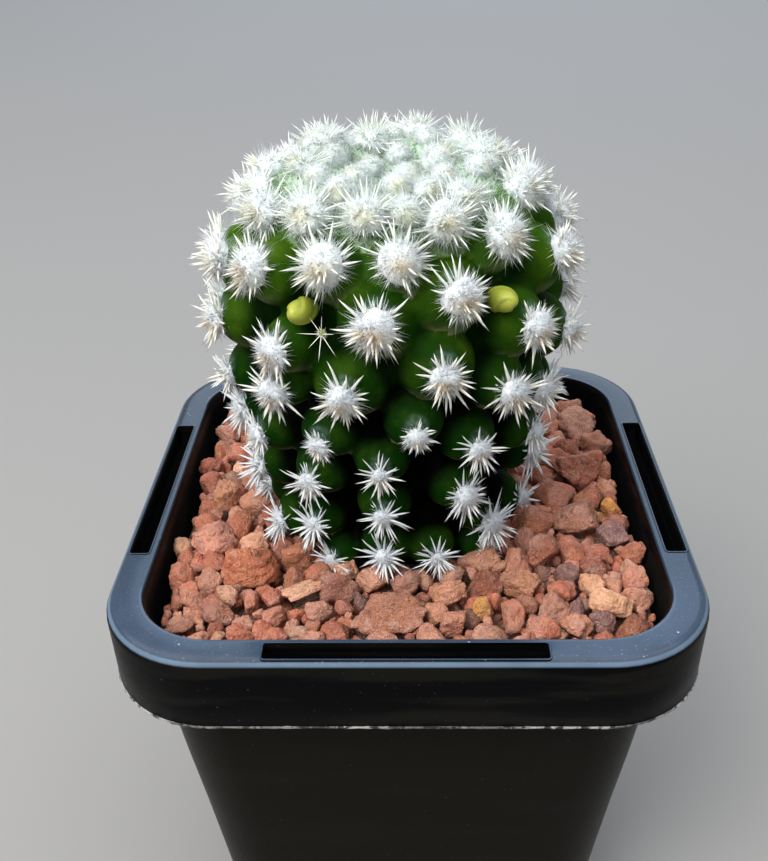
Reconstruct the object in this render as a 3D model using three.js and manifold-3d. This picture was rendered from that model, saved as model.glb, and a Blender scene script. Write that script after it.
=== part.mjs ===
// A thimble cactus in a square nursery pot, its soil covered with lava grit.
// Millimetres, +Z up. The origin is the centre of the pot's underside, and -Y is the side one looks at.
import * as THREE from "three";
import { mergeVertices } from "three/addons/utils/BufferGeometryUtils.js";
import Module from "manifold-3d";

const wasm = await Module();
wasm.setup();

// Clearance between pieces that touch
const gap = 0.3;

// Pot
const potHeight = 65;
const rimHalf = 35;
const rimCorner = 12.9;
const rimEdge = 1.2;
const rimThickness = 1;
const skirtDrop = 9.5;
const skirtThickness = 1.1;
const bodyTopHalf = 31.6;
const bodyBottomHalf = 24.4;
const bodyCorner = 9;
const wall = 0.9;
const floorThickness = 1.2;
const slotHalfLength = 15.5;
const slotInner = 31.9;
const slotOuter = 33.6;
const slotCorner = 0.4;
const drainRadius = 2.5;
const drainOffset = 13;

// Soil and gravel
const mixTop = 52;
const gravelTop = 61.3;
const gravelRoughness = 0.8;
const gravelCell = 5;

// Plant: it stands a little off centre and leans towards the viewer
const plantPlace = new THREE.Vector3(-1.4, 0.5, potHeight);
const plantLean = THREE.MathUtils.degToRad(3);
const tubercleReach = 7;
const coreDepth = 5.2;
const clusterReach = 4.3;
const clusterPoints = 8;
const crownSink = 1.1;
const hiddenSpacing = 8.5;
const hiddenCrownSpacing = 6.4;
const lowestHidden = 4;
const hiddenTries = 1200;
const goldenTurn = 137.508;

// The gravel's hole round the plant, as [radius, height above the rim], and how far up it can reach
const stemHole = [[0, -15], [8.2, -15], [9, -11.5], [12.4, -7.8], [18, -7.6], [18.8, 3], [0, 3]];
const gravelReach = 12;

// Radius and height above the rim of the line on which the tubercle tips lie, from the gravel to the crown
const flank = new THREE.SplineCurve([
  new THREE.Vector2(16.3, -6), new THREE.Vector2(17, 0), new THREE.Vector2(18.5, 10.4),
  new THREE.Vector2(20.6, 20.8), new THREE.Vector2(21.3, 28.5), new THREE.Vector2(20.2, 36),
  new THREE.Vector2(16.8, 42), new THREE.Vector2(12.6, 44.9), new THREE.Vector2(8.4, 45.7),
  new THREE.Vector2(4.4, 44.6), new THREE.Vector2(0, 43.6),
]);
const flankLength = flank.getLength();

// Tubercles that show, as [degrees round from the front, millimetres up the flank]. The first list's
// spine clusters are pieces of their own, and the second list's are part of the stem.
const shownTubercles = [
  [-28, 4.5], [-4, 7], [18, 6], [-62, 5.5], [-34, 10], [44, 8.5], [-74, 12.5], [76, 14], [-4, 14],
  [28, 15.5], [-32, 17.5], [-4, 21], [-56, 21], [30, 23], [-24, 24.5], [8, 27], [58, 27], [40, 30],
  [-38, 30.5], [-14, 32], [76, 32], [16, 34.5], [-36, 36], [-70, 35], [48, 37], [-4, 40.5], [72, 42.5],
  [22, 43], [-50, 44], [-22, 46.5], [4, 47.5], [46, 48], [-60, 50], [24, 51.5], [-36, 52], [-10, 53],
  [76, 51], [-124, 57], [-164, 60], [98, 56], [110, 62],
];
const edgeTubercles = [
  [42, 4], [84, 4], [-78, 20.5], [-70, 27.5], [-72, 42], [-80, 51], [8, 53.5], [38, 54], [164, 55],
  [24, 56.5], [-28, 56.5], [-80, 57.5], [6, 58.5], [-50, 63],
];

// Stones that are pieces of their own: middle, half sizes, turn about the vertical and tilt
const stones = [
  { at: [-2.6, -23.9, 62.6], half: [5.2, 2.6, 1.7], turn: 3, tilt: 38 },
  { at: [-19.4, -15.4, 63], half: [3.7, 3.4, 3.1], turn: 20, tilt: 0 },
  { at: [-12.6, -19.9, 62.6], half: [2.9, 1.4, 1.3], turn: 28, tilt: 10 },
  { at: [5.3, -20.2, 62.4], half: [2.3, 1.6, 2.2], turn: 10, tilt: 20 },
  { at: [13.2, -18.2, 62.4], half: [3, 1.9, 1.8], turn: -25, tilt: 0 },
  { at: [17.3, -12.6, 62.8], half: [2.3, 2.2, 2.2], turn: 40, tilt: 0 },
  { at: [22.6, -5.2, 62.6], half: [3.9, 3.1, 2.8], turn: -30, tilt: 12 },
  { at: [24.2, -22.3, 62.4], half: [2.8, 2.5, 2.2], turn: 15, tilt: 0 },
  { at: [24.3, 6.9, 62.8], half: [3.4, 3.2, 2.9], turn: 50, tilt: 0 },
  { at: [-25, -8.6, 62.6], half: [3.4, 3.1, 2.8], turn: -15, tilt: 0 },
  { at: [-24.6, 0.4, 62.6], half: [2, 2.5, 2.4], turn: 8, tilt: 15 },
  { at: [5.7, -25.2, 62.4], half: [2.1, 1.9, 1.9], turn: 30, tilt: 0 },
];

const colours = {
  pot: 0x1b2026, mix: 0x3b2c20, gravel: 0xa4583f, stem: 0x1f4a12, spines: 0xf2f0e4, bud: 0xc3cc4c,
  offset: 0x6f8f3a, stones: [0xb9705a, 0xb4553d, 0xc98a5e, 0xc78770, 0xa9764a, 0xa65138],
};

// Repeatable random numbers from 0 to 1
function makeRandom(seed) {
  let state = seed;
  return () => {
    state = (state * 1103515245 + 12345) % 2147483648;
    return state / 2147483648;
  };
}

// A geometry with its shared corners joined and its empty triangles dropped
function welded(geometry) {
  geometry.deleteAttribute("normal");
  geometry.deleteAttribute("uv");
  const merged = mergeVertices(geometry, 1e-4);
  const corners = merged.index.array;
  const kept = [];
  for (let i = 0; i < corners.length; i += 3) {
    const [a, b, c] = [corners[i], corners[i + 1], corners[i + 2]];
    if (a !== b && b !== c && c !== a) kept.push(a, b, c);
  }
  return merged.setIndex(kept);
}

// The solid of a welded geometry
function solidOf(geometry) {
  return new wasm.Manifold(new wasm.Mesh({
    numProp: 3,
    vertProperties: new Float32Array(geometry.attributes.position.array),
    triVerts: new Uint32Array(geometry.index.array),
  }));
}

// The three.js geometry of a solid
function geometryOf(solid) {
  const mesh = solid.getMesh();
  const geometry = new THREE.BufferGeometry();
  geometry.setAttribute("position", new THREE.BufferAttribute(mesh.vertProperties, 3));
  geometry.setIndex(new THREE.BufferAttribute(mesh.triVerts, 1));
  geometry.computeVertexNormals();
  return geometry;
}

function makeMesh(name, geometry, colour, roughness) {
  const material = new THREE.MeshStandardMaterial({ color: colour, roughness, metalness: 0 });
  const mesh = new THREE.Mesh(geometry, material);
  mesh.name = name;
  return mesh;
}

function roundedRectangle(halfX, halfY, corner) {
  const shape = new THREE.Shape();
  const x = halfX - corner;
  const y = halfY - corner;
  shape.absarc(x, -y, corner, -Math.PI / 2, 0);
  shape.absarc(x, y, corner, 0, Math.PI / 2);
  shape.absarc(-x, y, corner, Math.PI / 2, Math.PI);
  shape.absarc(-x, -y, corner, Math.PI, 1.5 * Math.PI);
  return shape;
}

// A block with a rounded square section, given as [height, half width] levels from the bottom up
function squareBlock(levels, corner) {
  const layers = levels.length - 1;
  const widest = Math.max(...levels.map(([, half]) => half));
  const geometry = new THREE.ExtrudeGeometry(roundedRectangle(widest, widest, corner), {
    depth: layers, steps: layers, bevelEnabled: false, curveSegments: 5,
  });
  const place = geometry.attributes.position;
  for (let i = 0; i < place.count; i++) {
    const [z, half] = levels[Math.round(place.getZ(i))];
    const scale = half / widest;
    place.setXYZ(i, place.getX(i) * scale, place.getY(i) * scale, z);
  }
  return solidOf(welded(geometry));
}

// Half width of the pot's body outside, at a height
function bodyHalf(z) {
  return bodyBottomHalf + (bodyTopHalf - bodyBottomHalf) * z / potHeight;
}

function bodyBlock(bottom, top, inset) {
  return squareBlock([[bottom, bodyHalf(bottom) - inset], [top, bodyHalf(top) - inset]], bodyCorner);
}

// Pot
function potSolid() {
  const skirtBottom = potHeight - skirtDrop;
  const outside = squareBlock([
    [skirtBottom, rimHalf - 0.2], [potHeight - rimEdge, rimHalf],
    [potHeight - 0.3 * rimEdge, rimHalf - 0.25 * rimEdge], [potHeight, rimHalf - 0.8 * rimEdge],
  ], rimCorner);
  const hollowHalf = rimHalf - skirtThickness;
  const hollow = squareBlock([
    [skirtBottom - 1, hollowHalf], [potHeight - rimThickness, hollowHalf],
  ], rimCorner);
  const slot = slotSolid();
  const slots = [0, 1, 2, 3].map((side) => slot.rotate([0, 0, 90 * side]));
  const drain = welded(new THREE.CylinderGeometry(drainRadius, drainRadius, 4 * floorThickness, 12));
  drain.rotateX(Math.PI / 2);
  const drains = [[-1, -1], [1, -1], [1, 1], [-1, 1]].map(([x, y]) =>
    solidOf(drain.clone().translate(x * drainOffset, y * drainOffset, 0)));
  return outside.subtract(hollow)
    .add(bodyBlock(0, potHeight - rimThickness / 2, 0))
    .subtract(bodyBlock(floorThickness, potHeight + 1, wall))
    .subtract(wasm.Manifold.union([...slots, ...drains]));
}

// The long hole in one side of the rim
function slotSolid() {
  const outline = roundedRectangle(slotHalfLength, (slotOuter - slotInner) / 2, slotCorner);
  const geometry = new THREE.ExtrudeGeometry(outline, {
    depth: 4 * rimThickness, bevelEnabled: false, curveSegments: 2,
  });
  geometry.translate(0, (slotOuter + slotInner) / 2, potHeight - 2 * rimThickness);
  return solidOf(welded(geometry));
}

// A tubercle's tip and the direction in which it points. Near the crown the tips lie a little deeper,
// in their wool.
function tubercleFrame(turn, along) {
  const share = THREE.MathUtils.clamp(along / flankLength, 0, 1);
  const tip = flank.getPointAt(share);
  const run = flank.getTangentAt(share);
  const angle = THREE.MathUtils.degToRad(turn);
  const outward = new THREE.Vector3(Math.sin(angle), -Math.cos(angle), 0);
  const direction = outward.clone().multiplyScalar(run.y).setZ(-run.x).normalize();
  const sink = crownSink * THREE.MathUtils.smoothstep(along, 40, 50);
  return {
    place: outward.multiplyScalar(tip.x).setZ(tip.y).addScaledVector(direction, -sink),
    direction,
    along,
  };
}

// Every tubercle: the listed ones, then the far side's, wound round the stem where there is room
function allTubercles() {
  const frames = [...shownTubercles, ...edgeTubercles].map(([turn, along]) => tubercleFrame(turn, along));
  for (let i = 0; i < hiddenTries; i++) {
    const along = THREE.MathUtils.lerp(lowestHidden, flankLength, i / hiddenTries);
    const candidate = tubercleFrame(i * goldenTurn, along);
    const nearCrown = THREE.MathUtils.smoothstep(along, 44, 58);
    const nearGravel = 1 - THREE.MathUtils.smoothstep(along, 4, 16);
    const loss = Math.max(nearCrown, 0.6 * nearGravel);
    const room = THREE.MathUtils.lerp(hiddenSpacing, hiddenCrownSpacing, loss);
    if (frames.every((other) => other.place.distanceTo(candidate.place) > room)) frames.push(candidate);
  }
  frames.forEach((frame, i) => {
    const distances = frames.filter((_, j) => j !== i).map((other) => other.place.distanceTo(frame.place));
    frame.spacing = Math.min(...distances);
  });
  return frames;
}

const tubercles = allTubercles();
const alongDirection = (frame) => new THREE.Quaternion().setFromUnitVectors(
  new THREE.Vector3(0, 0, 1), frame.direction);

// A lathe geometry that stands along +Z, from [radius, height] points
function turned(points, segments) {
  const profile = points.map(([radius, height]) => new THREE.Vector2(radius, height));
  return welded(new THREE.LatheGeometry(profile, segments)).rotateX(Math.PI / 2);
}

// The stem's outline under the tubercles, as [radius, height]: the root neck, then the flank set back
function coreOutline(clearance) {
  const rootNeck = [[2.5, -26], [4.5, -18], [7, -11]];
  const outline = rootNeck.map(([radius, height]) => [radius + clearance, height]);
  outline.unshift([0, -27 - clearance]);
  const rings = 9;
  for (let i = 0; i < rings; i++) {
    const share = i / rings;
    const tip = flank.getPointAt(share);
    const run = flank.getTangentAt(share);
    const depth = coreDepth - clearance;
    outline.push([tip.x - depth * run.y, tip.y + depth * run.x]);
  }
  outline.push([0, flank.getPointAt(1).y - coreDepth + clearance]);
  return outline;
}

// Stem with its root neck, in the plant's own frame. The clearance makes it larger all round.
function stemSolid(clearance) {
  const core = solidOf(turned(coreOutline(clearance), 20));
  const parts = tubercles.map((frame, i) => {
    const width = THREE.MathUtils.clamp(0.46 * frame.spacing, 1.5, 3.7) + clearance;
    const bare = [[0.72 * width, clearance - 0.22 * width], [0, clearance]];
    const woolly = [[0.7 * width, 0.8 + clearance], [0, 1.9 + clearance]];
    const end = i < shownTubercles.length ? bare : woolly;
    const geometry = turned([
      [0, -tubercleReach], [1.1 * width, -tubercleReach], [1.02 * width, -0.7 * width], ...end,
    ], 6);
    geometry.applyQuaternion(alongDirection(frame));
    return solidOf(geometry.translate(...frame.place));
  });
  return wasm.Manifold.union([core, ...parts]);
}

// The plain dome that a spine cluster fills, standing on z = 0
function clusterDome(frame, clearance, segments) {
  const reach = Math.min(clusterReach, 0.47 * frame.spacing) + clearance;
  return turned([
    [0, -clearance], [reach, 0.08 * reach - clearance], [0.72 * reach, 0.55 * reach], [0, 0.86 * reach],
  ], segments);
}

// A spine cluster: the dome with its edge drawn out into points
function clusterGeometry(frame) {
  const geometry = clusterDome(frame, 0, 2 * clusterPoints);
  const place = geometry.attributes.position;
  const step = Math.PI / clusterPoints;
  for (let i = 0; i < place.count; i++) {
    const [x, y] = [place.getX(i), place.getY(i)];
    const valley = Math.abs(Math.round(Math.atan2(y, x) / step)) % 2;
    const scale = valley ? 0.62 : 1;
    place.setXY(i, x * scale, y * scale);
  }
  return geometry;
}

function clusterMesh(frame, number) {
  const name = `spine_cluster_${String(number).padStart(2, "0")}`;
  const mesh = makeMesh(name, clusterGeometry(frame), colours.spines, 0.6);
  mesh.quaternion.copy(alongDirection(frame));
  mesh.position.copy(frame.place).addScaledVector(frame.direction, gap);
  return mesh;
}

// A bud or an offset: an egg that sprouts between the tubercles
function sproutSolid(turn, along, depth, radius, length) {
  const frame = tubercleFrame(turn, along);
  const geometry = welded(new THREE.SphereGeometry(radius, 10, 6)).rotateX(Math.PI / 2);
  geometry.scale(1, 1, length / (2 * radius));
  geometry.applyQuaternion(alongDirection(frame));
  geometry.translate(...frame.place.clone().addScaledVector(frame.direction, -depth));
  return solidOf(geometry).subtract(stemSolid(gap));
}

// A stone: a ball with its corners pushed in and out
function stoneGeometry(stone, number, clearance) {
  const random = makeRandom(700 + 31 * number);
  const geometry = welded(new THREE.IcosahedronGeometry(1, 1));
  const place = geometry.attributes.position;
  const corner = new THREE.Vector3();
  for (let i = 0; i < place.count; i++) {
    const push = 0.84 + 0.16 * random();
    corner.fromBufferAttribute(place, i).normalize();
    const reaches = stone.half.map((half) => push * half + clearance);
    place.setXYZ(i, corner.x * reaches[0], corner.y * reaches[1], corner.z * reaches[2]);
  }
  geometry.rotateX(THREE.MathUtils.degToRad(stone.tilt));
  geometry.rotateZ(THREE.MathUtils.degToRad(stone.turn));
  return geometry;
}

function stoneMesh(stone, index) {
  const name = `stone_${String(index + 1).padStart(2, "0")}`;
  const colour = colours.stones[index % colours.stones.length];
  const mesh = makeMesh(name, stoneGeometry(stone, index, 0), colour, 0.95);
  mesh.position.set(...stone.at);
  return mesh;
}

// The gravel layer: a block that fills the pot, with an uneven top
function gravelBlank() {
  const side = 2 * rimHalf;
  const cells = Math.round(side / gravelCell);
  const depth = gravelTop - mixTop;
  const geometry = welded(new THREE.BoxGeometry(side, side, depth, cells, cells, 1));
  const place = geometry.attributes.position;
  const random = makeRandom(42);
  for (let i = 0; i < place.count; i++) {
    if (place.getZ(i) > 0) place.setZ(i, place.getZ(i) + gravelRoughness * (2 * random() - 1));
  }
  geometry.translate(0, 0, mixTop + depth / 2 + gap);
  return solidOf(geometry).intersect(bodyBlock(mixTop, potHeight, wall + gap));
}

// Scene
const group = new THREE.Group();
const plant = new THREE.Group();
plant.position.copy(plantPlace);
plant.rotation.x = plantLean;
group.add(plant);

const stem = stemSolid(0);
plant.add(makeMesh("cactus_stem", geometryOf(stem), colours.stem, 0.45));
const clusterFrames = tubercles.slice(0, shownTubercles.length);
clusterFrames.forEach((frame, i) => plant.add(clusterMesh(frame, i + 1)));
plant.add(makeMesh("flower_bud_left", geometryOf(sproutSolid(-29, 41, 2, 1.6, 5)), colours.bud, 0.5));
plant.add(makeMesh("flower_bud_right", geometryOf(sproutSolid(39, 41.2, 2, 1.6, 5)), colours.bud, 0.5));
plant.add(makeMesh("young_offset", geometryOf(sproutSolid(-21, 39, 2, 1, 3)), colours.offset, 0.5));

group.updateMatrixWorld(true);
const inPot = (solid) => solid.transform(plant.matrixWorld.elements);
const clusterRoom = clusterFrames.filter((frame) => frame.along < gravelReach).map((frame) => {
  const geometry = clusterDome(frame, 1.4 * gap, 8).applyQuaternion(alongDirection(frame));
  const place = frame.place.clone().addScaledVector(frame.direction, gap);
  return inPot(solidOf(geometry.translate(...place)));
});
const stoneRoom = stones.map((stone, i) => solidOf(stoneGeometry(stone, i, gap).translate(...stone.at)));
const stemRoom = inPot(solidOf(turned(stemHole, 18)));
const rootRoom = inPot(solidOf(turned(coreOutline(gap), 18)));

const gravel = gravelBlank().subtract(wasm.Manifold.union([stemRoom, ...clusterRoom, ...stoneRoom]));
const mix = bodyBlock(floorThickness + gap, mixTop, wall + gap).subtract(rootRoom);
group.add(makeMesh("pot", geometryOf(potSolid()), colours.pot, 0.35));
group.add(makeMesh("potting_mix", geometryOf(mix), colours.mix, 1));
group.add(makeMesh("gravel_bed", geometryOf(gravel), colours.gravel, 0.95));
stones.forEach((stone, i) => group.add(stoneMesh(stone, i)));

export default group;
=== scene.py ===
# Fine surfaces for the potted thimble cactus. Shapes are worked out in millimetres and stored in metres.
import math
import bmesh
import bpy
import numpy as np
from mathutils import Matrix, Vector


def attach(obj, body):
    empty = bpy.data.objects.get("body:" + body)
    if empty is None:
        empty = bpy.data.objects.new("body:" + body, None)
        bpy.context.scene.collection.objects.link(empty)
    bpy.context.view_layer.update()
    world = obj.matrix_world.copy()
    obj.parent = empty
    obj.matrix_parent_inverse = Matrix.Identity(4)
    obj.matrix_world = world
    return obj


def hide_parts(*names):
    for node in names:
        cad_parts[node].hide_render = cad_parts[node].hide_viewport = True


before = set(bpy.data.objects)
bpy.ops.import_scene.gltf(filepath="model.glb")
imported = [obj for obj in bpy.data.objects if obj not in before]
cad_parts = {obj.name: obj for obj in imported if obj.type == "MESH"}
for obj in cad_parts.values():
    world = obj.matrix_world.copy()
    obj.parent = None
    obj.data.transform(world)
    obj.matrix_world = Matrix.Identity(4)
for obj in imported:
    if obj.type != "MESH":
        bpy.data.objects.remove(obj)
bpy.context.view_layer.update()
print("frame loaded")

mm = 0.001

# Camera, as solved from the pot's rim
cameraLook = {
    "place": (0.0012, -0.1168, 0.1422),
    "yaw": 1.71, "pitch": 30.59, "roll": -1.25,
    "lens": 43.24, "sensor": 36.0, "nearest": 0.01,
    "shift": (-0.0052, 0.0006),
}


def makeCamera(look):
    data = bpy.data.cameras.new("camera")
    data.sensor_width = look["sensor"]
    data.lens = look["lens"]
    data.shift_x, data.shift_y = look["shift"]
    data.clip_start = look["nearest"]
    turn = Matrix.Rotation(math.radians(look["yaw"]), 4, "Z")
    tip = Matrix.Rotation(math.radians(90 - look["pitch"]), 4, "X")
    roll = Matrix.Rotation(math.radians(look["roll"]), 4, "Z")
    camera = bpy.data.objects.new("camera", data)
    camera.matrix_world = Matrix.Translation(look["place"]) @ turn @ tip @ roll
    bpy.context.collection.objects.link(camera)
    bpy.context.scene.camera = camera


makeCamera(cameraLook)

# Soft daylight from above, on a plain pale floor
studio = {
    "world": (0.86, 0.92, 1.0), "worldStrength": 0.50,
    "floorHalf": 8.0, "floorColour": (0.27, 0.262, 0.252, 1), "floorRoughness": 0.8,
    "lights": {
        "skyLight": {"place": (-0.18, 0.0, 2.5), "size": 4.6, "power": 78.0, "colour": (1.0, 0.99, 0.98)},
        "windowLight": {
            "place": (-0.25, -0.33, 0.50), "size": 0.34, "power": 3.6, "colour": (1.0, 0.98, 0.95),
        },
        "backLight": {"place": (0.10, 1.24, 0.795), "size": 1.1, "power": 5.2, "colour": (0.55, 0.74, 1.0)},
    },
    "aim": (0.0, 0.0, 0.085),
}


def makeLight(name, look, aim):
    data = bpy.data.lights.new(name, "AREA")
    data.shape = "DISK"
    data.size = look["size"]
    data.energy = look["power"]
    data.color = look["colour"]
    light = bpy.data.objects.new(name, data)
    light.location = look["place"]
    toward = Vector(aim) - Vector(look["place"])
    light.rotation_euler = toward.to_track_quat("-Z", "Y").to_euler()
    bpy.context.collection.objects.link(light)


def makeStudio(look):
    world = bpy.data.worlds.new("sky")
    world.use_nodes = True
    background = world.node_tree.nodes["Background"]
    background.inputs["Color"].default_value = (*look["world"], 1)
    background.inputs["Strength"].default_value = look["worldStrength"]
    bpy.context.scene.world = world
    for name, light in look["lights"].items():
        makeLight(name, light, look["aim"])


makeStudio(studio)
scene = bpy.context.scene
scene.view_settings.view_transform = "Standard"
print("camera and lights placed")


# A socket in a shader, on which plain arithmetic adds Math nodes
class Wire:
    def __init__(self, shader, socket):
        self.shader = shader
        self.socket = socket

    def math(self, operation, *others):
        values = {i + 1: other for i, other in enumerate(others)}
        return self.shader.node("Math", {"operation": operation}, {0: self, **values})

    def __add__(self, other):
        return self.math("ADD", other)

    def __radd__(self, other):
        return self.math("ADD", other)

    def __sub__(self, other):
        return self.math("SUBTRACT", other)

    def __rsub__(self, other):
        return self.shader.node("Math", {"operation": "SUBTRACT"}, {0: other, 1: self})

    def __mul__(self, other):
        return self.math("MULTIPLY", other)

    def __rmul__(self, other):
        return self.math("MULTIPLY", other)

    def __pow__(self, other):
        return self.math("POWER", other)

    def clamp(self, low=0.0, high=1.0):
        return self.math("MINIMUM", high).math("MAXIMUM", low)

    # 0 below low, 1 above high, with a soft step between
    def step(self, low, high):
        settings = {"interpolation_type": "SMOOTHSTEP"}
        return self.shader.node("MapRange", settings, {0: self, 1: low, 2: high})


# One material: its nodes are added through node(), and surface() closes it
class Shader:
    def __init__(self, name):
        self.material = bpy.data.materials.new(name)
        self.material.use_nodes = True
        self.tree = self.material.node_tree
        self.tree.nodes.clear()

    def node(self, kind, settings=None, values=None, out=0):
        made = self.tree.nodes.new("ShaderNode" + kind)
        for key, value in (settings or {}).items():
            if key == "stops":
                self.fillRamp(made.color_ramp, value)
            else:
                setattr(made, key, value)
        for key, value in (values or {}).items():
            if isinstance(value, Wire):
                self.tree.links.new(value.socket, made.inputs[key])
            else:
                made.inputs[key].default_value = value
        return Wire(self, made.outputs[out]) if made.outputs else None

    def fillRamp(self, ramp, stops):
        while len(ramp.elements) < len(stops):
            ramp.elements.new(0.5)
        for element, (position, colour) in zip(ramp.elements, stops):
            element.position = position
            element.color = (*colour, 1)

    def attribute(self, name, out="Fac"):
        return self.node("Attribute", {"attribute_name": name}, out=out)

    def place(self):
        return self.node("TexCoord", out="Object")

    def noise(self, scale, detail, roughness=0.55, place=None):
        values = {"Vector": place or self.place(), "Scale": scale, "Detail": detail, "Roughness": roughness}
        return self.node("TexNoise", None, values, "Fac")

    def cells(self, scale):
        return self.node("TexVoronoi", None, {"Vector": self.place(), "Scale": scale}, "Distance")

    def mix(self, share, first, second):
        settings = {"data_type": "RGBA", "clamp_factor": True}
        return self.node("Mix", settings, {0: share, 6: first, 7: second}, 2)

    def tint(self, colour, amount):
        settings = {"data_type": "RGBA", "blend_type": "MULTIPLY"}
        grey = self.node("CombineColor", None, {0: amount, 1: amount, 2: amount})
        return self.node("Mix", settings, {0: 1.0, 6: colour, 7: grey}, 2)

    def ramp(self, share, stops):
        return self.node("ValToRGB", {"stops": stops}, {0: share})

    def bump(self, height, distance, strength):
        return self.node("Bump", None, {"Height": height, "Distance": distance, "Strength": strength})

    def surface(self, **values):
        named = {key.replace("_", " "): value for key, value in values.items()}
        shaded = self.node("BsdfPrincipled", None, named)
        self.node("OutputMaterial", None, {"Surface": shaded})
        return self.material


def colour(red, green, blue):
    return (red, green, blue, 1)


# Points and triangles gathered from many small shapes, with values for each point
class Bag:
    def __init__(self):
        self.points = []
        self.faces = []
        self.values = {}
        self.count = 0

    def add(self, points, faces, **values):
        self.points.append(points)
        self.faces.append(faces + self.count)
        for key, value in values.items():
            filled = np.broadcast_to(np.asarray(value, float), (len(points),) + np.shape(value)[1:])
            self.values.setdefault(key, []).append(filled)
        self.count += len(points)


# Turns a bag into a piece that rides on the frame
def makePiece(name, bag, material, replaced=()):
    points = np.concatenate(bag.points) * mm
    faces = np.concatenate(bag.faces).astype(np.int32)
    mesh = bpy.data.meshes.new(name)
    mesh.vertices.add(len(points))
    mesh.vertices.foreach_set("co", points.astype(np.float32).ravel())
    mesh.loops.add(faces.size)
    mesh.loops.foreach_set("vertex_index", faces.ravel())
    mesh.polygons.add(len(faces))
    mesh.polygons.foreach_set("loop_start", np.arange(0, faces.size, 3, dtype=np.int32))
    mesh.polygons.foreach_set("use_smooth", np.full(len(faces), True))
    mesh.update(calc_edges=True)
    for key, parts in bag.values.items():
        values = np.concatenate(parts)
        kind, field = "FLOAT", "value"
        if values.ndim > 1:
            values = np.concatenate([values, np.ones((len(values), 1))], axis=1)
            kind, field = "FLOAT_COLOR", "color"
        attribute = mesh.attributes.new(key, kind, "POINT")
        attribute.data.foreach_set(field, values.astype(np.float32).ravel())
    mesh.materials.append(material)
    piece = bpy.data.objects.new(name, mesh)
    bpy.context.collection.objects.link(piece)
    return dress(piece, replaced)


def dress(piece, replaced=()):
    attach(piece, "root")
    if replaced:
        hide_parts(*replaced)
    return piece


# Two directions square to each of the given ones
def squareTo(directions):
    helper = np.where(np.abs(directions[:, 2:3]) < 0.9, [[0.0, 0.0, 1.0]], [[1.0, 0.0, 0.0]])
    first = np.cross(helper, directions)
    first /= np.linalg.norm(first, axis=1, keepdims=True)
    return first, np.cross(directions, first)


# Tapered needles from roots to tips. The profile lists [share of length, share of width] up to the tip.
def needles(roots, tips, widths, sides, profile, bow=None):
    total = len(roots)
    axis = tips - roots
    length = np.linalg.norm(axis, axis=1, keepdims=True)
    first, second = squareTo(axis / length)
    angles = 2 * np.pi * np.arange(sides)[None, :, None] / sides
    spokes = np.cos(angles) * first[:, None] + np.sin(angles) * second[:, None]
    rings = []
    for share, thickness in profile:
        centre = roots + axis * share
        if bow is not None:
            centre = centre + bow * (4 * share * (1 - share))
        rings.append(centre[:, None] + spokes * (0.5 * thickness * widths)[:, None, None])
    body = np.concatenate(rings + [tips[:, None]], axis=1)
    faces = []
    for ring in range(len(profile) - 1):
        for i in range(sides):
            a, b = ring * sides + i, ring * sides + (i + 1) % sides
            faces += [(a, b, b + sides), (a, b + sides, a + sides)]
    last = (len(profile) - 1) * sides
    faces += [(last + i, last + (i + 1) % sides, last + sides) for i in range(sides)]
    faces += [(0, i + 1, i) for i in range(1, sides - 1)]
    perNeedle = last + sides + 1
    faces = np.array(faces)[None] + perNeedle * np.arange(total)[:, None, None]
    shares = np.array([share for share, _ in profile for _ in range(sides)] + [1.0])
    return body.reshape(-1, 3), faces.reshape(-1, 3), np.tile(shares, total)


# Unit ball made of triangles
def ball(level):
    work = bmesh.new()
    bmesh.ops.create_icosphere(work, subdivisions=level, radius=1.0)
    points = np.array([corner.co for corner in work.verts])
    faces = np.array([[corner.index for corner in face.verts] for face in work.faces])
    work.free()
    return points, faces


balls = {level: ball(level) for level in (2, 3, 4, 5)}
noiseTable = np.random.default_rng(12).uniform(-1, 1, (32, 32, 32))


# Smooth random values over space, from -1 to 1
def lumps(points):
    cell = np.floor(points).astype(int)
    part = points - cell
    part = part * part * (3 - 2 * part)
    total = np.zeros(len(points))
    for corner in np.ndindex(2, 2, 2):
        weight = np.prod(np.where(corner, part, 1 - part), axis=1)
        total += weight * noiseTable[tuple(((cell + corner) % 32).T)]
    return total


# Floor
def makeFloor(look):
    half = look["floorHalf"]
    mesh = bpy.data.meshes.new("floor")
    corners = [(-half, -half, 0), (half, -half, 0), (half, half, 0), (-half, half, 0)]
    mesh.from_pydata(corners, [], [(0, 1, 2, 3)])
    floor = bpy.data.objects.new("floor", mesh)
    bpy.context.collection.objects.link(floor)
    paint = Shader("floorPaint").surface(Base_Color=look["floorColour"], Roughness=look["floorRoughness"])
    mesh.materials.append(paint)


makeFloor(studio)

# The plant's own frame: where it stands, how it leans, and the line of its tubercle tips
plant = {
    "place": (-1.4, 0.5, 65.0), "lean": 3.0,
    "flank": [
        (16.3, -6), (17, 0), (18.5, 10.4), (20.6, 20.8), (21.3, 28.5), (20.2, 36),
        (16.8, 42), (12.6, 44.9), (8.4, 45.7), (4.4, 44.6), (0, 43.6),
    ],
    "tries": 1200, "goldenTurn": 137.508,
    # Pairs are for the flank and for the crown; an over is where one passes into the other
    "hiddenSpacing": (8.5, 6.4), "hiddenFrom": 4, "hiddenOver": (44, 58),
    "footOver": (4, 16), "footLoss": 0.6,
    "fillSpacing": (6.7, 5.0), "fillFront": (-9.5, 2.0), "fillFrom": 6, "fillTop": 59, "fillOver": (44, 52),
    "youngSpacing": 4.2, "youngFrom": 57,
    "coreDepth": 5.2, "reach": 7.0, "crownSink": 1.1, "sinkOver": (40, 50),
}
leanTurn = np.array(Matrix.Rotation(math.radians(plant["lean"]), 3, "X"))
plantPlace = np.array(plant["place"])

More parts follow.
